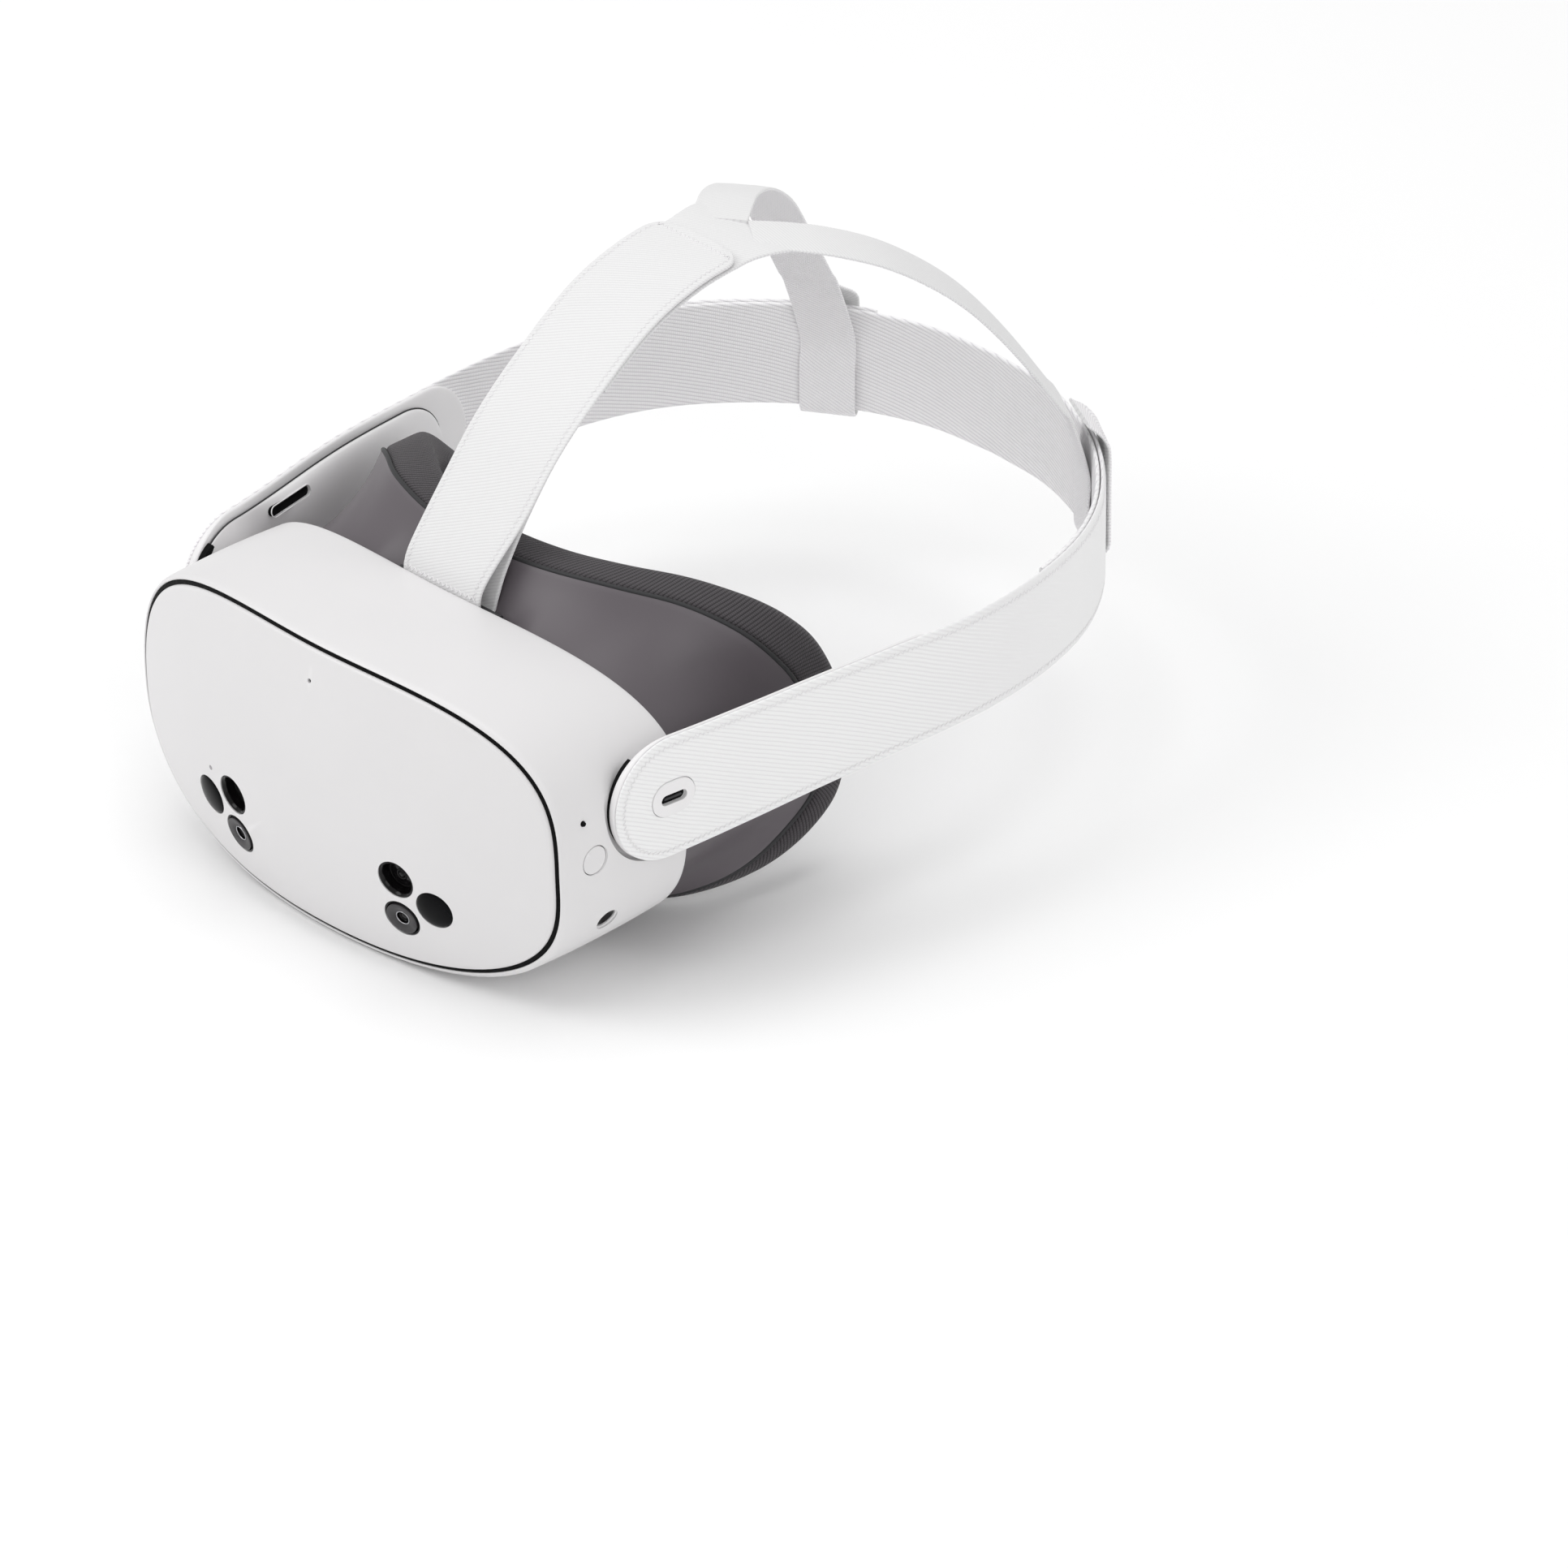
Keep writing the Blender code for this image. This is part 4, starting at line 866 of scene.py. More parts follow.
def under_place(side):
    """Where a key under the housing sits, tilted with the wall there."""
    at = Matrix.Translation((side * UNDER_BUTTON[0], *UNDER_BUTTON[1:]))
    return at @ Matrix.Rotation(-side * UNDER_TILT, 4, "Y")


def side_camera_axis(side):
    return unit((side * SIDE_CAMERA_AXIS[0], 0.0, SIDE_CAMERA_AXIS[2]))


def side_camera_at(side, lift):
    x, y, z = SIDE_CAMERA
    return Vector((side * x, y, z)) + side_camera_axis(side) * lift


def make_main_housing():
    loops = []
    lip_line = ((1.3, 5.6), (1.3, 1.2), (1.42, 0.7), (1.75, 0.42), (2.15, 0.62), (2.45, 1.1))
    parts = [0.0, 0.02, 0.05] + [0.09 + 0.87 * step / 24 for step in range(25)] + [0.985]
    inner_parts = (1.0, 0.97, 0.8, 0.6, 0.4, 0.2)
    for angle in angles(ROUND_STEPS):
        loop = []
        for grow, back in lip_line:
            x, z = plate_oval(angle, grow)
            loop.append(Vector((x, plate_y(x, z) + back, max(z, GROUND + 0.4))))
        loop += [housing_point(angle, part) for part in parts]
        rear_y = housing_point(angle, 1.0).y
        for inset in (0.12, 0.45, 0.9):
            rim = housing_point(angle, 1.0, inset, inset)
            rim.y = rear_y - 0.35 + inset * 0.45
            loop.append(rim)
        inner = [housing_point(angle, part, SIDE_WALL, WALL) for part in inner_parts]
        inner[0].y = rear_y - 0.25
        loops.append(loop + inner)
    shape = loft(loops)
    count = len(loops[0])
    shape.verts.index_update()
    for face in shape.faces:
        last = max(vert.index % count for vert in face.verts)
        face.material_index = int(last >= count - len(inner_parts))
    housing = add_piece("housing_shell", shape, [SHELL, MATT_BLACK], "visor", ["main_housing"])
    cutters = []
    for side, _, _, length in UNDER_KEYS:
        cutters.append(pocket_cutter(side))
        cutters.append(button_cutter(3.6, side_camera_at(side, 0.2), side_camera_axis(side), 0.35))
        cutters.append(transformed(pill(length + 0.7, 5.7, 6.0, -6.0, 0.02), under_place(side)))
    cutters.append(button_cutter(POWER_BUTTON_RADIUS + 0.28, (90.6, *POWER_BUTTON), (1, 0, 0)))
    cutters.append(button_cutter(0.95, (90.4, *STATUS_LED), (1, 0, 0), 0.1))
    cut(housing, cutters)


def make_cameras():
    """The glass in the six windows and the housing's sides. The colour cameras have a cone and a ring."""
    wall = [(5.9, 6.05), (6.42, 5.95), (6.45, -3.0), (0.0, -3.0)]
    recessed = [(0.0, 3.45), (0.7, 3.35), (1.1, 3.0), (1.35, 2.75), (1.5, 3.05), (1.75, 3.1), (1.9, 2.8),
                (3.9, 2.6), (4.1, 2.2), (4.9, 2.2), (5.1, 3.4), (5.2, 5.0), (5.5, 5.6)]
    deep = [(0.0, 5.5), (1.0, 5.3), (1.7, 4.8), (2.0, 5.2), (2.05, 6.0), (2.2, 2.4), (5.9, 2.4), (6.0, 5.2)]
    domed = [(6.35 * math.sin(turn), 6.0 + 1.4 * math.cos(turn)) for turn in quarter(14)]
    domed += [(6.4, 5.6), (6.4, -3.0), (0.0, -3.0)]
    cone = [(2.35, 2.6), (2.4, 5.9), (2.6, 6.02), (5.2, 6.75), (5.5, 6.6), (5.5, 2.4), (2.35, 2.4),
            (2.35, 2.6)]
    ring = [(2.3 + 0.15 * math.cos(turn), 6.0 + 0.15 * math.sin(turn))
            for turn in (-math.pi * step / 4 for step in range(9))]
    groups = (("tracking_camera", TRACKING_WINDOW, CAMERA_GLASS, rounded_profile(recessed + wall, 0.12)),
              ("passthrough_camera", PASSTHROUGH_WINDOW, CAMERA_GLASS, rounded_profile(deep + wall, 0.12)),
              ("ir_illuminator", LAMP_WINDOW, GLOSS_BLACK, domed))
    for name, (x, z), glass, profile in groups:
        for side, word in SIDES:
            axis = plate_axis(side * x, z)
            at = on_plate(side * x, z) - axis * 6.4
            add_turned(f"{name}_glass_{word}", profile, glass, [f"{name}_{word}"], at, axis,
                       sharp=50.0)
            if name == "passthrough_camera":
                add_turned(f"camera_cone_{word}", cone, CONE_MAUVE, (), at, axis, sharp=50.0)
                add_turned(f"camera_ring_{word}", ring, STEEL, (), at, axis)
    profile = [(0.0, 0.9), (0.9, 0.75), (1.25, 0.3), (1.4, 0.1), (1.7, 0.35), (2.5, 1.1), (2.9, 1.55),
               (3.15, 1.6), (3.3, 1.3), (3.3, -4.5), (0.0, -4.5)]
    for side, word in SIDES:
        add_turned(f"side_camera_glass_{word}", rounded_profile(profile, 0.12), CAMERA_GLASS,
                   [f"side_camera_{word}"], side_camera_at(side, -1.6), side_camera_axis(side), sharp=50.0)


def make_face_lamp():
    """The small grey lamp above the right lamp window, and the dark gauze behind the microphone's hole."""
    gauze = [(0.0, -0.9), (1.3, -0.9), (1.3, -1.3), (0.0, -1.3)]
    add_turned("microphone_gauze", gauze, DEEP_BLACK, (), on_plate(0.0, MICROPHONE_Z),
               plate_axis(0.0, MICROPHONE_Z), steps=32)
    lamp = [(0.0, 0.12), (0.5, 0.11), (0.75, 0.04), (0.8, -0.6), (0.0, -0.6)]
    add_turned("face_lamp", lamp, LAMP_GREY, (), on_plate(*FACE_LAMP), plate_axis(*FACE_LAMP),
               steps=32)


def make_controls():
    radius = POWER_BUTTON_RADIUS
    cap = [(0.0, 1.85), (1.5, 1.88), (3.4, 2.0), (4.2, 2.05)]
    cap += [(radius - 0.35 + 0.35 * math.sin(turn), 1.7 + 0.35 * math.cos(turn)) for turn in quarter(5)]
    cap += [(radius, -2.0), (0.0, -2.0)]
    add_turned("power_key_cap", cap, SHELL, ["power_button"], (88.75, *POWER_BUTTON),
               (1, 0, 0), body="power_key")
    lamp = [(0.0, 1.9), (0.4, 1.85), (0.65, 1.7), (0.75, 1.4), (0.75, -2.0), (0.0, -2.0)]
    add_turned("status_lamp", lamp, GLOSS_BLACK, ["status_led"], (88.6, *STATUS_LED),
               (1, 0, 0), steps=32)
    for side, body, node_name, length in UNDER_KEYS:
        shape = pill(length, 5.0, 1.7, -1.7, 0.5)
        if side > 0:
            for mark in (-5.5, 5.5):
                add_box(shape, (mark, 0.0, -1.72), (2.2, 0.5, 0.3), 0.08)
        add_piece(f"{body}_cap", shape, SHELL, body, [node_name],
                  turn=under_place(side) @ Matrix.Rotation(math.pi, 4, "X"))


# ---------------------------------------------------------------- optics, seen from behind

def make_lens_panel():
    """The black wall behind the optics: a sunk field inside a raised border, with a slot for each barrel."""
    outline = ((0.0, -1.0), (0.0, 0.4), (0.5, 0.9), (1.0, 1.0), (5.0, 1.0), (5.6, 0.8), (6.2, 0.2),
               (6.8, 0.0), (40.0, 0.0))
    half_width, top, bottom = PANEL_OVAL
    loops = []
    for inset, back in outline:
        ring = [oval(angle, half_width - inset, top - min(inset, 42.0), bottom - min(inset, 41.0),
                     REAR_POWER, REAR_POWER) for angle in angles(160)]
        loops.append([(x, PANEL_Y + back, z) for x, z in ring])
    panel = add_piece("optics_panel", loft(loops, False), MATT_BLACK, "visor", ["lens_panel"])
    radius = BARREL_RADIUS + 0.7
    cut(panel, [moved(pill(2 * (radius + LENS_TRAVEL + 0.2), 2 * radius, 5.0, -5.0, 0.02, 32),
                      (side * LENS_X, PANEL_Y, 0.0), (0, 1, 0)) for side, _ in SIDES])
    head = [(0.0, 1.1), (0.9, 1.1), (1.0, 1.75), (1.7, 1.65), (2.2, 1.3), (2.3, 1.0), (1.2, 1.0), (1.2, -7.0),
            (0.0, -7.0)]
    corners = [(side * PANEL_SCREW[0], PANEL_Y, up * PANEL_SCREW[1]) for side in (1, -1) for up in (1, -1)]
    for number, at in enumerate(corners, 1):
        add_turned(f"panel_screw_head_{number}", head, STEEL, [f"panel_screw_{number}"], at,
                   (0, 1, 0), steps=32)
    add_piece("proximity_window", pill(7.0, 3.4, 1.2, -1.2, 0.4), GLOSS_BLACK, "visor",
              ["proximity_sensor"], turn=standing((0.0, PANEL_Y + 2.6, 24.0), (0, 1, 0)))


def make_optics():
    bore = LENS_RADIUS + 0.4
    half = BARREL_HALF_DEPTH
    tube_line = [(bore, half - 5.0), (bore + 0.1, half - 0.9), (bore + 0.7, half - 0.2), (bore + 1.2, half),
                 (BARREL_RADIUS - 0.5, half), (BARREL_RADIUS, half - 0.5)]
    groove = BARREL_RADIUS - 0.35
    for top in (half - 2.0 - 1.4 * step for step in range(5)):
        tube_line += [(BARREL_RADIUS, top), (groove, top - 0.3), (groove, top - 0.7),
                      (BARREL_RADIUS, top - 1.0)]
    tube_line += [(BARREL_RADIUS, -half), (bore - 1.5, -half), (bore - 1.5, half - 8.0), (bore, half - 8.0),
                  (bore, half - 5.0)]
    glass = [(LENS_RADIUS * part, 3.4 - 3.0 * part ** 2.2)
             for part in (0.0, 0.12, 0.25, 0.38, 0.5, 0.62, 0.74, 0.85, 0.94)]
    glass += [(LENS_RADIUS - 0.1, 0.4), (LENS_RADIUS, 0.0), (LENS_RADIUS, -1.2), (18.0, -1.8), (10.0, -2.6),
              (0.0, -2.9)]
    for side, word in SIDES:
        body = f"lens_unit_{word}"
        shape = moved(turned(tube_line, 96), (side * LENS_X, BARREL_MIDDLE_Y, 0.0), (0, 1, 0))
        for up in (1, -1):
            add_box(shape, (side * LENS_X, 44.0, up * 29.2), (10.0, 6.0, 8.0), 0.6)
        add_piece(f"lens_tube_{word}", shape, MATT_BLACK, body, [f"lens_barrel_{word}"],
                  sharp=40.0)
        add_turned(f"lens_glass_{word}", glass, LENS, [f"lens_{word}"],
                   (side * LENS_X, BARREL_MIDDLE_Y + half - 5.4, 0.0), (0, 1, 0), body, 96, 50.0)


# ---------------------------------------------------------------- facial interface

def mirrored(points):
    return [Vector((-point.x, point.y, point.z)) for point in points]


def face_stations():
    """(crest point, outward, rearward) round the face cushion."""
    half = [Vector(point) for point in FACE_LINE]
    whole = half + mirrored(reversed(half[1:-1]))
    line = smooth_line([whole[-1], *whole, whole[0], whole[1]], 12 * FACE_STATIONS)
    middle = len(line) // 2
    start = min(range(middle), key=lambda i: (line[i] - whole[0]).length)
    end = min(range(middle, len(line)), key=lambda i: (line[i] - whole[0]).length)
    ring = spaced(line[start:end + 1], FACE_STATIONS + 1)[:-1]
    stations = []
    for i, point in enumerate(ring):
        along = unit(ring[(i + 3) % FACE_STATIONS] - ring[i - 3])
        outward = unit((-along.z, 0.0, along.x))
        square = unit(along.cross(outward))
        stations.append((point, outward, square * math.copysign(1.0, square.y)))
    return stations


def cushion_depth(point):
    if point.z > 0:
        return CUSHION_DEPTH
    return NOSE_DEPTH + (CUSHION_DEPTH - NOSE_DEPTH) * min(max((abs(point.x) - 45.0) / 30.0, 0.0), 1.0)


def jaw_share(point):
    """1 along the jaw, fading to 0 at the cheek and the nose."""
    return ease((-point.z - 2.0) / 40.0) * ease((abs(point.x) - 24.0) / 26.0)


def cushion_front(point):
    return CUSHION_FRONT + (JAW_FRONT - CUSHION_FRONT) * jaw_share(point)


def seam_depth(point):
    """How far inside the cushion's crest its front seam lies."""
    return 1.2 + 2.6 * jaw_share(point)


def pad_out(piece, sewn):
    """Cloth pressure swells the cushion between its sewn edges, no point moving more than PAD_TRAVEL."""
    scene = bpy.context.scene
    rest = [vert.co.copy() for vert in piece.data.vertices]
    group = piece.vertex_groups.new(name="sewn")
    group.add(sewn, 1.0, "REPLACE")
    cloth = piece.modifiers.new("padding", "CLOTH")
    cloth.settings.vertex_group_mass = "sewn"
    cloth.settings.use_pressure = True
    cloth.settings.uniform_pressure_force = PAD_PRESSURE
    cloth.settings.effector_weights.gravity = 0.0
    cloth.settings.quality = 5
    for number in range(1, PAD_FRAMES + 1):
        scene.frame_set(number)
    graph = bpy.context.evaluated_depsgraph_get()
    swollen = [vert.co.copy() for vert in piece.evaluated_get(graph).data.vertices]
    piece.modifiers.remove(cloth)
    piece.vertex_groups.remove(group)
    scene.frame_set(1)
    for vert, before, after in zip(piece.data.vertices, rest, swollen):
        move = after - before
        if move.length > PAD_TRAVEL * MM:
            move = move.normalized() * PAD_TRAVEL * MM
        vert.co = before + move


def make_face_cushion(stations):
    """The padded ring, a little slimmer than its solid, swollen by its filling, with a sewn seam."""
    loops, spots, seam = [], [], []
    along = 0.0
    last = 22
    for i, (point, outward, rearward) in enumerate(stations):
        along += (point - stations[i - 1][0]).length if i else 0.0
        depth, front = cushion_depth(point), cushion_front(point)
        inner = -depth
        sunk = seam_depth(point) - 1.2
        crest = CUSHION_REAR - 0.7
        corners = [(-1.4 - sunk, front), (-0.7 - 0.5 * sunk, front + 1.4), (-0.5, 0.0), (-1.8, 2.6),
                   (-depth / 3, crest), (inner + depth / 4, crest), (inner + 1.2, 1.6), (inner + 0.5, -2.0),
                   (inner + 1.2, front)]
        line = smooth_line([(out, back, 0.0) for out, back in corners], last + 1)
        across = 0.0
        loop, spot = [], []
        for j, part in enumerate(line):
            across += (part - line[j - 1]).length if j else 0.0
            loop.append(point + outward * part.x + rearward * part.y)
            spot.append((along, across))
        for part in (0.66, 0.33):
            loop.append(loop[0].lerp(loop[last], part))
            spot.append((along, across + 3.0))
        loops.append(loop)
        spots.append(spot)
        seam.append(point - outward * (sunk + 1.25) + rearward * (front - SEAM_GAP / 2))
    cushion = add_piece("cushion_pad", loft(loops, True, spots), CUSHION_CLOTH, None,
                        ["face_cushion"], sharp=80.0)
    count = len(loops[0])
    pad_out(cushion, [i * count + j for i in range(len(loops)) for j in (0, *range(last, count))])
    smooth = cushion.modifiers.new("smooth", "SUBSURF")
    smooth.levels = 1
    smooth.render_levels = 1
    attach(cushion, "facial_interface")
    add_trim("cushion_seam", tube(seam, 0.75, 10, True), MATT_BLACK, "facial_interface")


def make_facial_frame(stations):
    """The moulded shell between the visor's rear opening and the cushion."""
    half_width, top, bottom = FRAME_FRONT
    loops = []
    for point, outward, rearward in stations:
        height = top if point.z > 0 else bottom
        angle = math.atan2(point.z / height, point.x / half_width)
        x, z = oval(angle, half_width, top, bottom, REAR_POWER, REAR_POWER)
        recess = STRAP_RECESS * ease((34.0 - abs(x)) / 14.0) if z > 0 else 0.0
        front = Vector((x, rear_edge_y(x) - FRAME_INSET, z - recess))
        seam = point - outward * seam_depth(point) + rearward * (cushion_front(point) - SEAM_GAP)
        away = unit((x / half_width ** 2, 0.0, z / height ** 2))
        outer = [front, front.lerp(seam, 0.35) - away * (0.8 + recess / 3),
                 front.lerp(seam, 0.75) - outward * 1.2, seam]
        fine = smooth_line(outer, 14)
        rim = [seam + rearward * 0.25 - outward * 0.35, seam + rearward * 0.2 - outward * 1.2]
        inner = [front - away * FRAME_WALL, outer[1] - unit(away + outward) * FRAME_WALL,
                 outer[2] - outward * FRAME_WALL, seam - outward * FRAME_WALL]
        loops.append(fine + rim + smooth_line(inner, 9)[::-1])
    add_piece("facial_shell", loft(loops), FRAME_GREY, "facial_interface", ["facial_frame"],
              sharp=50.0)


# ---------------------------------------------------------------- side arms and straps

def strap_z(y):
    return (STRAP_Z + STRAP_RISE * ease((y - 60.0) / 62.0) * (1 - ease((y - 130.0) / 140.0))
            + BACK_RISE * ease((y - 170.0) / 80.0))


def strap_half_width(y):
    return 20.7 - 2.7 * min(max((y - HINGE_Y) / 110.0, 0.0), 1.0)


class SideTrack(Track):
    """One side's strap, upright, with its middle line at strap_z."""

    def __init__(self, side):
        line = smooth_line([(side * x, y, 0.0) for x, y in STRAP_LINE], 400)
        super().__init__(line, [Vector((-along.y, along.x, 0.0)) * -side for along in tangents(line)])

    def surface(self, distance, across, depth):
        point, _, outward = self.at(distance)
        return point - outward * depth + Vector((0.0, 0.0, strap_z(point.y) + across))

    def distance_to(self, y):
        """How far along the strap reaches this y, on its way back."""
        for run, point in zip(self.run, self.points):
            if point.y >= y:
                return run - (point.y - y)
        return self.length

    def distance_to_back(self, x):
        """How far along the strap comes within x of the middle of the back."""
        return next(run for run, point in zip(self.run, self.points) if abs(point.x) < x and point.y > 200.0)


def even(start, end, step):
    count = max(int((end - start) / step), 2)
    return [start + (end - start) * i / count for i in range(count + 1)]


def rounded_end(start, end, radius, step):
    """Stations that crowd together towards a round end."""
    crowded = [end - radius + radius * math.sin(turn) for turn in quarter(14)[1:]]
    return even(start, end - radius, step) + crowded


def end_factor(distance, end, radius):
    """Half the width left near a round end, as a part of the whole."""
    behind = max(distance - (end - radius), 0.0)
    return math.sqrt(max(1 - (behind / radius) ** 2, 0.0004))


def make_side(side, word):
    track = SideTrack(side)
    hinge = track.distance_to(HINGE_Y)
    end = track.distance_to_back(SIDE_STRAP_END_X)

    def half_at(distance):
        return strap_half_width(track.at(distance)[0].y)

    def outer_half(distance):
        return half_at(distance) - 0.1 * (1 - ease((distance - 120.0) / 40.0))

    cloth = band(track.surface, even(hinge, end, 2.6), outer_half, STRAP_THICKNESS, 0.55, hinge)
    strap = add_strap(f"side_strap_cloth_{word}", cloth, [OUTER_KNIT, INNER_TWILL[side]],
                      [f"side_strap_{word}"])
    if side > 0:
        cut(strap, [port_shape(track, 16.4, 12.0, 4.0, -4.0, 0.05)])
        make_port(track)
    make_arm(track, word, hinge, half_at)
    make_washer_and_gap_shade(side, word)
    make_strap_stitches(track, word, hinge, end, outer_half)


def make_strap_stitches(track, word, hinge, end, half_at):
    """Rows of zigzag stitches round the hinge cap and along both edges."""
    straight = even(hinge, end - 1, 6.0)
    radius = half_at(hinge) - STITCH_INSET
    path = [(distance, half_at(distance) - STITCH_INSET) for distance in reversed(straight)]
    path += [(hinge - radius * math.sin(turn), radius * math.cos(turn)) for turn in half_turn(30)[1:-1]]
    path += [(distance, STITCH_INSET - half_at(distance)) for distance in straight]
    row = zigzag(track.surface, path, 1.1, 1.9, 0.12, -0.16)
    end_path = [(end - 1.8, half_at(end) - 1.5), (end - 1.8, 1.5 - half_at(end))]
    end_row = zigzag(track.surface, end_path, 1.2, 1.9, 0.14)
    add_trim(f"strap_stitching_{word}", merge([row, end_row]), THREAD)


def port_shape(track, length, width, top, bottom, edge):
    """A pill over the left hinge, flat on the strap's outer face."""
    point, _, outward = track.at(track.distance_to(HINGE_Y + 0.8))
    turn = Matrix.Translation((point.x, point.y, HINGE_Z))
    for angle, axis in ((math.atan2(outward.y, outward.x), "Z"), (math.pi / 2, "Y"), (math.pi / 2, "Z")):
        turn = turn @ Matrix.Rotation(angle, 4, axis)
    return transformed(pill(length, width, top, bottom, edge), turn)


def make_washer_and_gap_shade(side, word):
    """A dark ring for the hinge washer, shaped as a crescent that shows in front of the arm: painted shade
    for the deep gap round the hinge cap.
    """
    low, high = POCKET_FLOOR_X + 0.1, POCKET_FLOOR_X + 2.4
    loops = []
    for step in range(41):
        share = step / 20 - 1
        turn = math.radians(54.0 * share)
        outer = HINGE_CAP_RADIUS - 1.4 - 1.1 * share ** 4
        inner = outer - (1.0 + 3.0 * (1 - share ** 4))
        section = ((inner, low), (outer, low), (outer, high - 0.3), (outer - 0.3, high), (inner, high))
        loops.append([(side * x, HINGE_Y - radius * math.cos(turn), HINGE_Z + radius * math.sin(turn))
                      for radius, x in section])
    # Painted shade: this dark crescent fills the gap round the hinge cap, which is dark there because it is
    # deep.
    add_piece(f"hinge_washer_and_gap_shade_{word}", loft(loops, False), DEEP_BLACK, "visor",
              [f"hinge_washer_{word}"])


def make_port(track):
    surround = add_piece("charging_port_surround", port_shape(track, 16.0, 11.6, 0.55, -1.55, 0.45),
                         ARM_SHELL_PAINTED_LIGHTER, "head_strap", ["usb_c_port"])
    cut(surround, [port_shape(track, 9.6, 3.5, 3.0, -0.9, 0.02)])
    for name, material, sizes in (("shell", DEEP_BLACK, (9.1, 3.3, -0.78, -1.2, 0.05)),
                                  ("tongue", MATT_BLACK, (6.6, 0.8, -0.1, -0.74, 0.08))):
        add_piece(f"charging_port_{name}", port_shape(track, *sizes), material, "head_strap")


def middle_share(across, half):
    """0 in the middle of a band and 1 at its edge."""
    return min(abs(across) / max(half, 1.0), 1.0)


def make_arm(track, word, hinge, half_at):
    """The stiff arm under the cloth: a rim that shows round the cloth's edge, and an inner cover."""
    end = track.distance_to(ARM_REAR_Y)
    plate_depth = STRAP_THICKNESS + 0.05

    def arm_half(distance):
        return (half_at(distance) + 0.1) * end_factor(distance, end, 18.0)

    def arm_surface(distance, across, depth):
        """Its inner face swells towards the middle, so that its edge is thin."""
        share = middle_share(across, arm_half(distance))
        swell = math.sqrt(max(1 - share ** 3, 0.0)) * (1 - 0.8 * ease((distance - 108.0) / 34.0))
        return track.surface(distance, across, plate_depth + depth * (0.7 + 1.9 * swell))

    arm = band(arm_surface, rounded_end(hinge, end, 18.0, 3.0), arm_half, 1.0, 0.0, hinge)
    add_piece(f"arm_plate_{word}", arm, ARM_SHELL_PAINTED_LIGHTER, "head_strap", [f"arm_shell_{word}"],
              sharp=60.0)
    make_arm_cover(track, word, hinge, half_at)


def make_arm_cover(track, word, first, half_at):
    """The inner cover of an arm: thin over the hinge, thickest over the speaker, a dark line round it."""
    last = track.distance_to(COVER_REAR_Y)
    swell_from = track.distance_to(COVER_FRONT_Y)
    base = ARM_DEPTH - 0.15

    def cover_half(distance):
        return (half_at(distance) - 2.3) * end_factor(distance, last, 17.0)

    def proud(distance):
        full = 5.6 - 3.6 * max((distance - swell_from) / (last - swell_from), 0.0)
        rise = ease((distance - swell_from + 12.0) / 24.0)
        return 1.2 + (full - 0.9) * rise * ease((last - distance) / 22.0)

    def cover_surface(distance, across, depth):
        rounded = (1 - middle_share(across, cover_half(distance)) ** 3.0) ** 0.6
        return track.surface(distance, across, base + depth * (0.35 + (proud(distance) - 0.35) * rounded))

    stations = rounded_end(first, last, 17.0, 3.0)
    cover = add_piece(f"arm_inner_cover_{word}", band(cover_surface, stations, cover_half, 1.0, 0.0, first),
                      ARM_SHELL_PAINTED_LIGHTER, "head_strap", [f"arm_cover_{word}"], sharp=60.0)
    line = [cover_surface(distance, cover_half(distance) + 0.1, 0.3) for distance in stations]
    line += [cover_surface(distance, -cover_half(distance) - 0.1, 0.3) for distance in reversed(stations)]
    radius = cover_half(first) + 0.1
    line += [cover_surface(first - radius * math.sin(turn), -radius * math.cos(turn), 0.3)
             for turn in half_turn(24)[1:-1]]
    add_trim(f"cover_joint_{word}", tube(line, 0.28, 6, True), MATT_BLACK)
    make_sound_slot(track, word, cover, cover_surface)
    make_speaker(track, word, cover_surface)


def make_sound_slot(track, word, cover, cover_surface):
    """The slot in an arm's cover that lets the sound out, with its dark bottom and the fine lip round it."""
    slot_at = track.distance_to(SOUND_SLOT_Y)
    middle = cover_surface(slot_at, SOUND_SLOT_Z, 1.0)
    along = track.at(slot_at)[1]
    out = unit(cover_surface(slot_at, SOUND_SLOT_Z, 2.0) - middle + Vector((0.0, 0.0, 0.9)))
    out = unit(out - along * out.dot(along))
    turn = basis(along, out.cross(along), out)
    turn.translation = middle
    cut(cover, [transformed(pill(SOUND_SLOT_LENGTH, 3.3, 3.0, -1.6, 0.02), turn)])
    add_piece(f"sound_slot_{word}", pill(SOUND_SLOT_LENGTH - 0.1, 3.2, -0.9, -1.7, 0.1), DEEP_BLACK,
              "head_strap", turn=turn)
    reach = SOUND_SLOT_LENGTH / 2 - 1.65
    lip = [(math.copysign(reach, math.cos(angle)) + 1.82 * math.cos(angle), 1.82 * math.sin(angle), 0.0)
           for angle in (2 * math.pi * i / 48 for i in range(48))]
    add_trim(f"slot_lip_{word}", transformed(tube(lip, 0.2, 6, True), turn), ARM_SHELL_PAINTED_LIGHTER)


def make_speaker(track, word, cover_surface):
    """The grille over the speaker: fine bars across a thin plate."""
    middle_at = track.distance_to(SPEAKER_Y)
    _, along, outward = track.at(middle_at)
    up = Vector((0.0, 0.0, 1.0))
    turn = basis(along, up, along.cross(up))
    turn.translation = cover_surface(middle_at, SPEAKER_Z, 1.0) + outward * 0.4
    shape = rounded_box((23.0, 11.0, 1.4), 0.5)
    for step in range(11):
        add_box(shape, (-10.0 + 2.0 * step, 0.0, 0.0), (0.9, 9.4, 2.4), 0.3)
    add_piece(f"speaker_grille_{word}", shape, ARM_SHELL_PAINTED_LIGHTER, "head_strap", [f"speaker_{word}"],
              turn=turn)


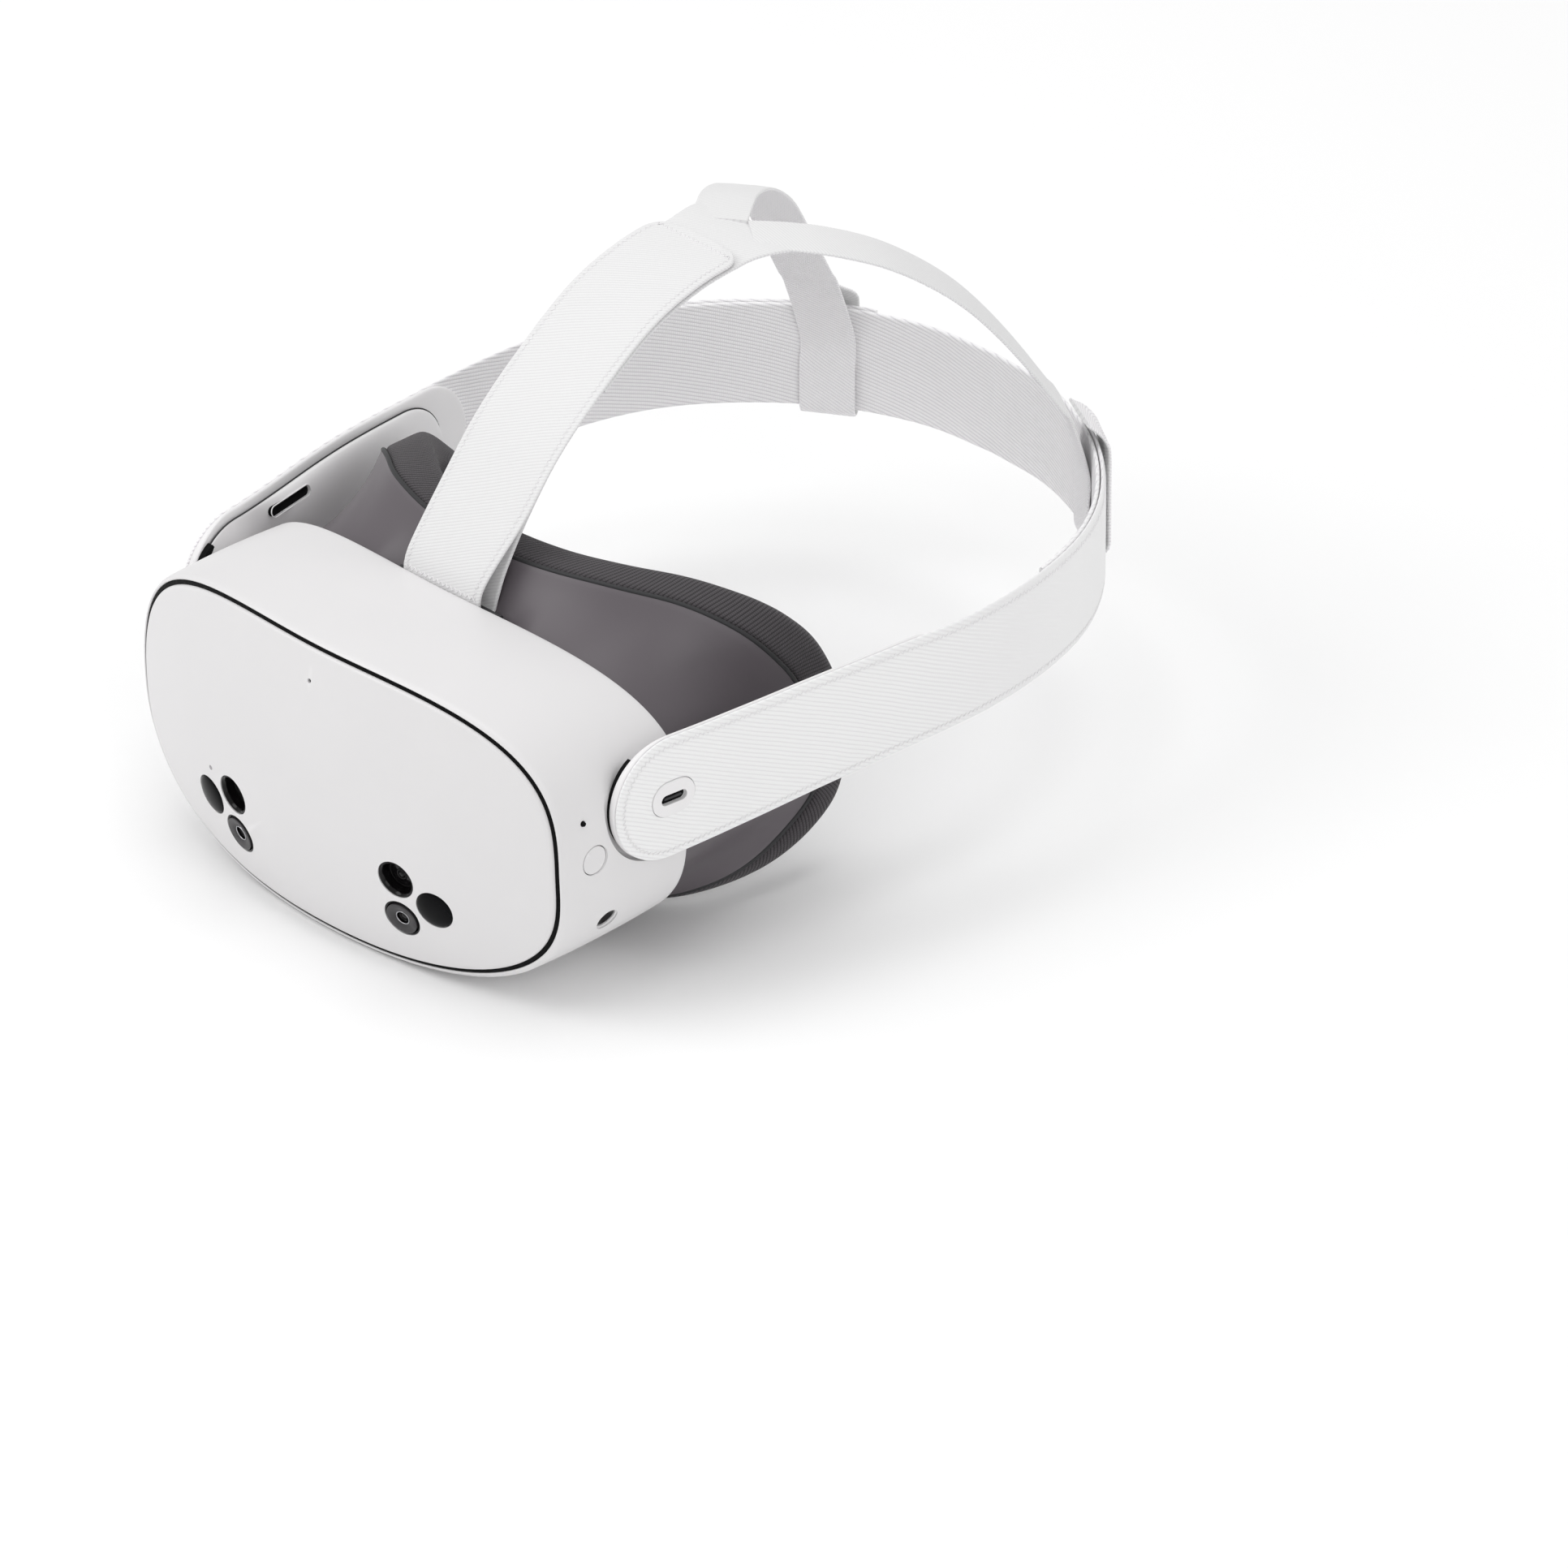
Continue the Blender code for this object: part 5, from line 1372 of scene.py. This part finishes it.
def make_rear_strap(left):
    """The inner band across the back, under the ends of both side straps."""
    start = left.distance_to(REAR_BAND_START_Y)
    points = [left.surface(distance, 0.0, 0.0) for distance in even(start, left.length, 2.0)]
    line = spaced(points + mirrored(points)[::-1][1:], 160)
    track = Track(line, [unit((along.y, -along.x, 0.0)) for along in tangents(line)])

    def surface(distance, across, depth):
        point, _, outward = track.at(distance)
        return point - outward * (depth + STRAP_THICKNESS + 0.12) + Vector((0.0, 0.0, across))

    shape = band(surface, even(0.0, track.length, 2.6), lambda distance: 17.7, STRAP_THICKNESS, 0.2)
    add_strap("rear_band_cloth", shape, [OUTER_KNIT, INNER_TWILL[1]], ["rear_strap"])


# ---------------------------------------------------------------- top strap

def arch_track(points, count=200):
    """A strap in the middle plane of the head: its outer face faces up and away from the head."""
    line = smooth_line([(0.0, y, z) for y, z in points], count)
    return Track(line, [Vector((0.0, -along.z, along.y)) for along in tangents(line)])


def make_top_strap():
    """The front strap: from its round sewn end down to the visor's bar, round it, and back up underneath."""
    track = arch_track(TOP_LINE)
    under = arch_track(UNDER_LINE)

    def drawn_in(distance):
        return 1.7 * (1 - ease(distance / 36.0))

    def half_at(distance):
        return TOP_WIDTH / 2 - 7.0 + 7.0 * end_factor(distance, track.length, 7.0) - drawn_in(distance)

    def surface(distance, across, depth):
        return track.surface(distance, across, depth) - Vector((drawn_in(distance), 0.0, 0.0))

    def under_surface(distance, across, depth):
        return under.surface(distance, across, depth) - Vector((0.9, 0.0, 0.0))

    upper = band(surface, rounded_end(0.0, track.length, 7.0, 2.6), half_at, STRAP_THICKNESS, 0.3)
    lower = band(under_surface, even(0.0, under.length, 1.0), lambda distance: TOP_WIDTH / 2 - 1.4,
                 STRAP_THICKNESS, 0.2)
    strap = add_strap("top_strap_cloth", upper, TOP_CLOTHS, ["top_strap"], None)
    fold = add_strap("top_strap_fold", lower, TOP_CLOTHS, (), None)
    rows = []
    for sign in (1, -1):
        path = [(distance, sign * (half_at(distance) - 2.2))
                for distance in even(2.0, track.length - 5.0, 6.0)]
        rows.append(zigzag(surface, path, 1.0, 1.9, 0.10, -0.14))
    for distance in (2.6, track.length - 3.4):
        path = [(distance, 1.6 - half_at(distance)), (distance, half_at(distance) - 1.6)]
        rows.append(zigzag(surface, path, 1.3, 1.8, 0.15))
    stitches = add_trim("top_strap_stitching", merge(rows), THREAD, None)
    for piece in (strap, fold, stitches):
        place((0.0, 62.0, 52.0))
        place((0.0, 106.0, 101.0))
        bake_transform(piece)


def away_from_head(point, along):
    """The way out of the head at a point, square to a strap that runs along it."""
    away = point - HEAD_CENTRE
    return unit(away - along * away.dot(along))


def tail_track(side):
    line = smooth_line([(side * x, y, z) for x, y, z in TAIL_LINE], 160)
    outwards = [away_from_head(point, along) for point, along in zip(line, tangents(line))]
    lift = 0.25 if side > 0 else 0.0
    return Track([point + outward * lift for point, outward in zip(line, outwards)], outwards)


def make_trunk():
    track = arch_track(TRUNK_LINE)

    def half_at(distance):
        return TOP_WIDTH / 2 - 0.6 + 3.4 * ease((distance - track.length + 22.0) / 22.0)

    shape = band(track.surface, even(0.0, track.length, 2.6), half_at, STRAP_THICKNESS, 0.3)
    add_strap("crown_strap_cloth", shape, TOP_CLOTHS, ["y_strap"])


def tail_line(side, strap_track, lowest):
    """A tail's middle line: down over the head, inside the rear band, round under it and up outside it."""
    track = tail_track(side)
    middle, _, outward = strap_track.at(strap_track.distance_to_back(LOOP_X))

    def in_band(depth, z):
        return Vector((middle.x, middle.y, z)) - outward * depth

    turn_radius = (LOOP_INNER_DEPTH + LOOP_OUTER_FACE) / 2
    route = [in_band(LOOP_INNER_DEPTH, z) for z in (26.0, 14.0, 3.0)]
    route += [in_band(LOOP_INNER_DEPTH - turn_radius * (1 - math.cos(turn)),
                      lowest + 3.0 * (1 - math.sin(turn))) for turn in half_turn(6)]
    route += [in_band(-LOOP_OUTER_FACE, z) for z in (4.0, 14.0, 24.0, 31.0)]
    route += [in_band(-LOOP_OUTER_FACE + 0.5, 35.0), in_band(1.6, 38.6)]
    joined_at = next(i for i, point in enumerate(track.points) if point.z < 43.5)
    route.append(track.points[joined_at] + track.outwards[joined_at] * 1.35)
    return smooth_line([*track.points[:-6:8], *route], 300)


def make_tail(side, word, strap_track):
    """One rear tail. It faces out of the head on its way down, and lies flat on the rear band at its loop."""
    lowest = STRAP_Z + BACK_RISE - 19.5
    line = tail_line(side, strap_track, lowest)
    across = strap_track.at(strap_track.distance_to_back(LOOP_X))[1] * -side
    directions = []
    turned_back = False
    for i, (point, along) in enumerate(zip(line, tangents(line))):
        turned_back = turned_back or point.z < lowest + 2.0
        share = 0.0
        if i > 2 and point.z < 60.0:
            share = 1.0 if turned_back else ease((60.0 - point.z) / 40.0)
        free = away_from_head(point, along)
        held = unit(across.cross(along)) * side
        if held.dot(free) < 0 and share < 1.0:
            held = -held
        mixed = free.lerp(held, share)
        direction = unit(mixed - along * mixed.dot(along))
        if directions and direction.dot(directions[-1]) < 0:
            direction = -direction
        directions.append(direction)
    tail = Track(line, directions)

    def half_at(distance):
        return TAIL_WIDTH / 2 - 1.8 * ease((distance - tail.length + 9.0) / 9.0)

    shape = band(tail.surface, even(0.0, tail.length, 1.6), half_at, TAIL_THICKNESS, 0.2)
    add_strap(f"tail_cloth_{word}", shape, TOP_CLOTHS, [f"strap_loop_{word}"])


# ---------------------------------------------------------------- CAD pieces that stay, and the stage

def finish_cad_nodes():
    """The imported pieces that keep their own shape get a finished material."""
    kept = ((FOIL, ("battery_pack",)), (ALUMINIUM, ("heat_sink",)), (BOARD, ("main_board",)),
            (GLOSS_BLACK, ("display_panel",)),
            (MATT_BLACK, ("fan_housing", "fan_rotor", "display_frame", "top_strap_bar")),
            (STEEL, ("lens_rail_upper", "lens_rail_lower", "hinge_pin_left", "hinge_pin_right")))
    for material, names in kept:
        for name in names:
            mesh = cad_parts[name].data
            mesh.materials.clear()
            mesh.materials.append(material)


def make_stage():
    made, tree, shader = new_material("studio_floor", 0.75, Emission_Color=(1.0, 1.0, 1.0, 1.0),
                                      Emission_Strength=0.01)
    where = node(tree, "ShaderNodeTexCoord").outputs["Object"]
    feed(shader, "Base Color", blend_colours(tree, noise(tree, where, 3.0), (0.94,) * 3, (0.96,) * 3))
    shape = bmesh.new()
    bmesh.ops.create_grid(shape, x_segments=8, y_segments=8, size=12.0)
    mesh = to_mesh("studio_floor", shape)
    mesh.materials.append(made)
    floor = link("studio_floor", mesh)
    floor.location.z = -0.0005


def add_light(name, at, size, power):
    data = bpy.data.lights.new(name, "AREA")
    data.shape = "DISK"
    data.size = size
    data.energy = power
    light = link(name, data)
    light.location = at
    light.rotation_euler = (LAMP_TARGET - Vector(at)).to_track_quat("-Z", "Y").to_euler()


def light_scene():
    scene = bpy.context.scene
    scene.view_settings.view_transform = "Standard"
    scene.world = bpy.data.worlds.new("studio")
    scene.world.use_nodes = True
    background = scene.world.node_tree.nodes["Background"]
    background.inputs[0].default_value = (1.0, 1.0, 1.0, 1.0)
    background.inputs[1].default_value = WORLD_LIGHT
    for lamp in LAMPS:
        add_light(*lamp)


def add_camera():
    """A long lens, square to a picture PICTURE_WIDTH_MM wide at the object."""
    azimuth, elevation = math.radians(CAMERA_AZIMUTH), math.radians(CAMERA_ELEVATION)
    right = Vector((math.cos(azimuth), math.sin(azimuth), 0.0))
    back = Vector((math.sin(azimuth) * math.cos(elevation), -math.cos(azimuth) * math.cos(elevation),
                   math.sin(elevation)))
    up = back.cross(right)
    data = bpy.data.cameras.new("camera")
    data.sensor_width = CAMERA_SENSOR
    data.lens = CAMERA_SENSOR * CAMERA_DISTANCE / (PICTURE_WIDTH_MM * MM)
    data.clip_end = 100.0
    camera = link("camera", data)
    turn = basis(right, up, back)
    turn.translation = (place((0.0, 0.0, 0.0)) + right * CAMERA_SHIFT[0] + up * CAMERA_SHIFT[1]
                        + back * CAMERA_DISTANCE)
    camera.matrix_world = turn
    bpy.context.scene.camera = camera


def main():
    add_camera()
    make_front_plate()
    make_gap_seal()
    make_main_housing()
    make_cameras()
    make_face_lamp()
    make_controls()
    make_lens_panel()
    make_optics()
    stations = face_stations()
    make_face_cushion(stations)
    make_facial_frame(stations)
    for side, word in SIDES:
        make_side(side, word)
    make_rear_strap(SideTrack(1))
    make_top_strap()
    make_trunk()
    for side, word in SIDES:
        make_tail(side, word, SideTrack(side))
    finish_cad_nodes()
    make_stage()
    light_scene()


main()
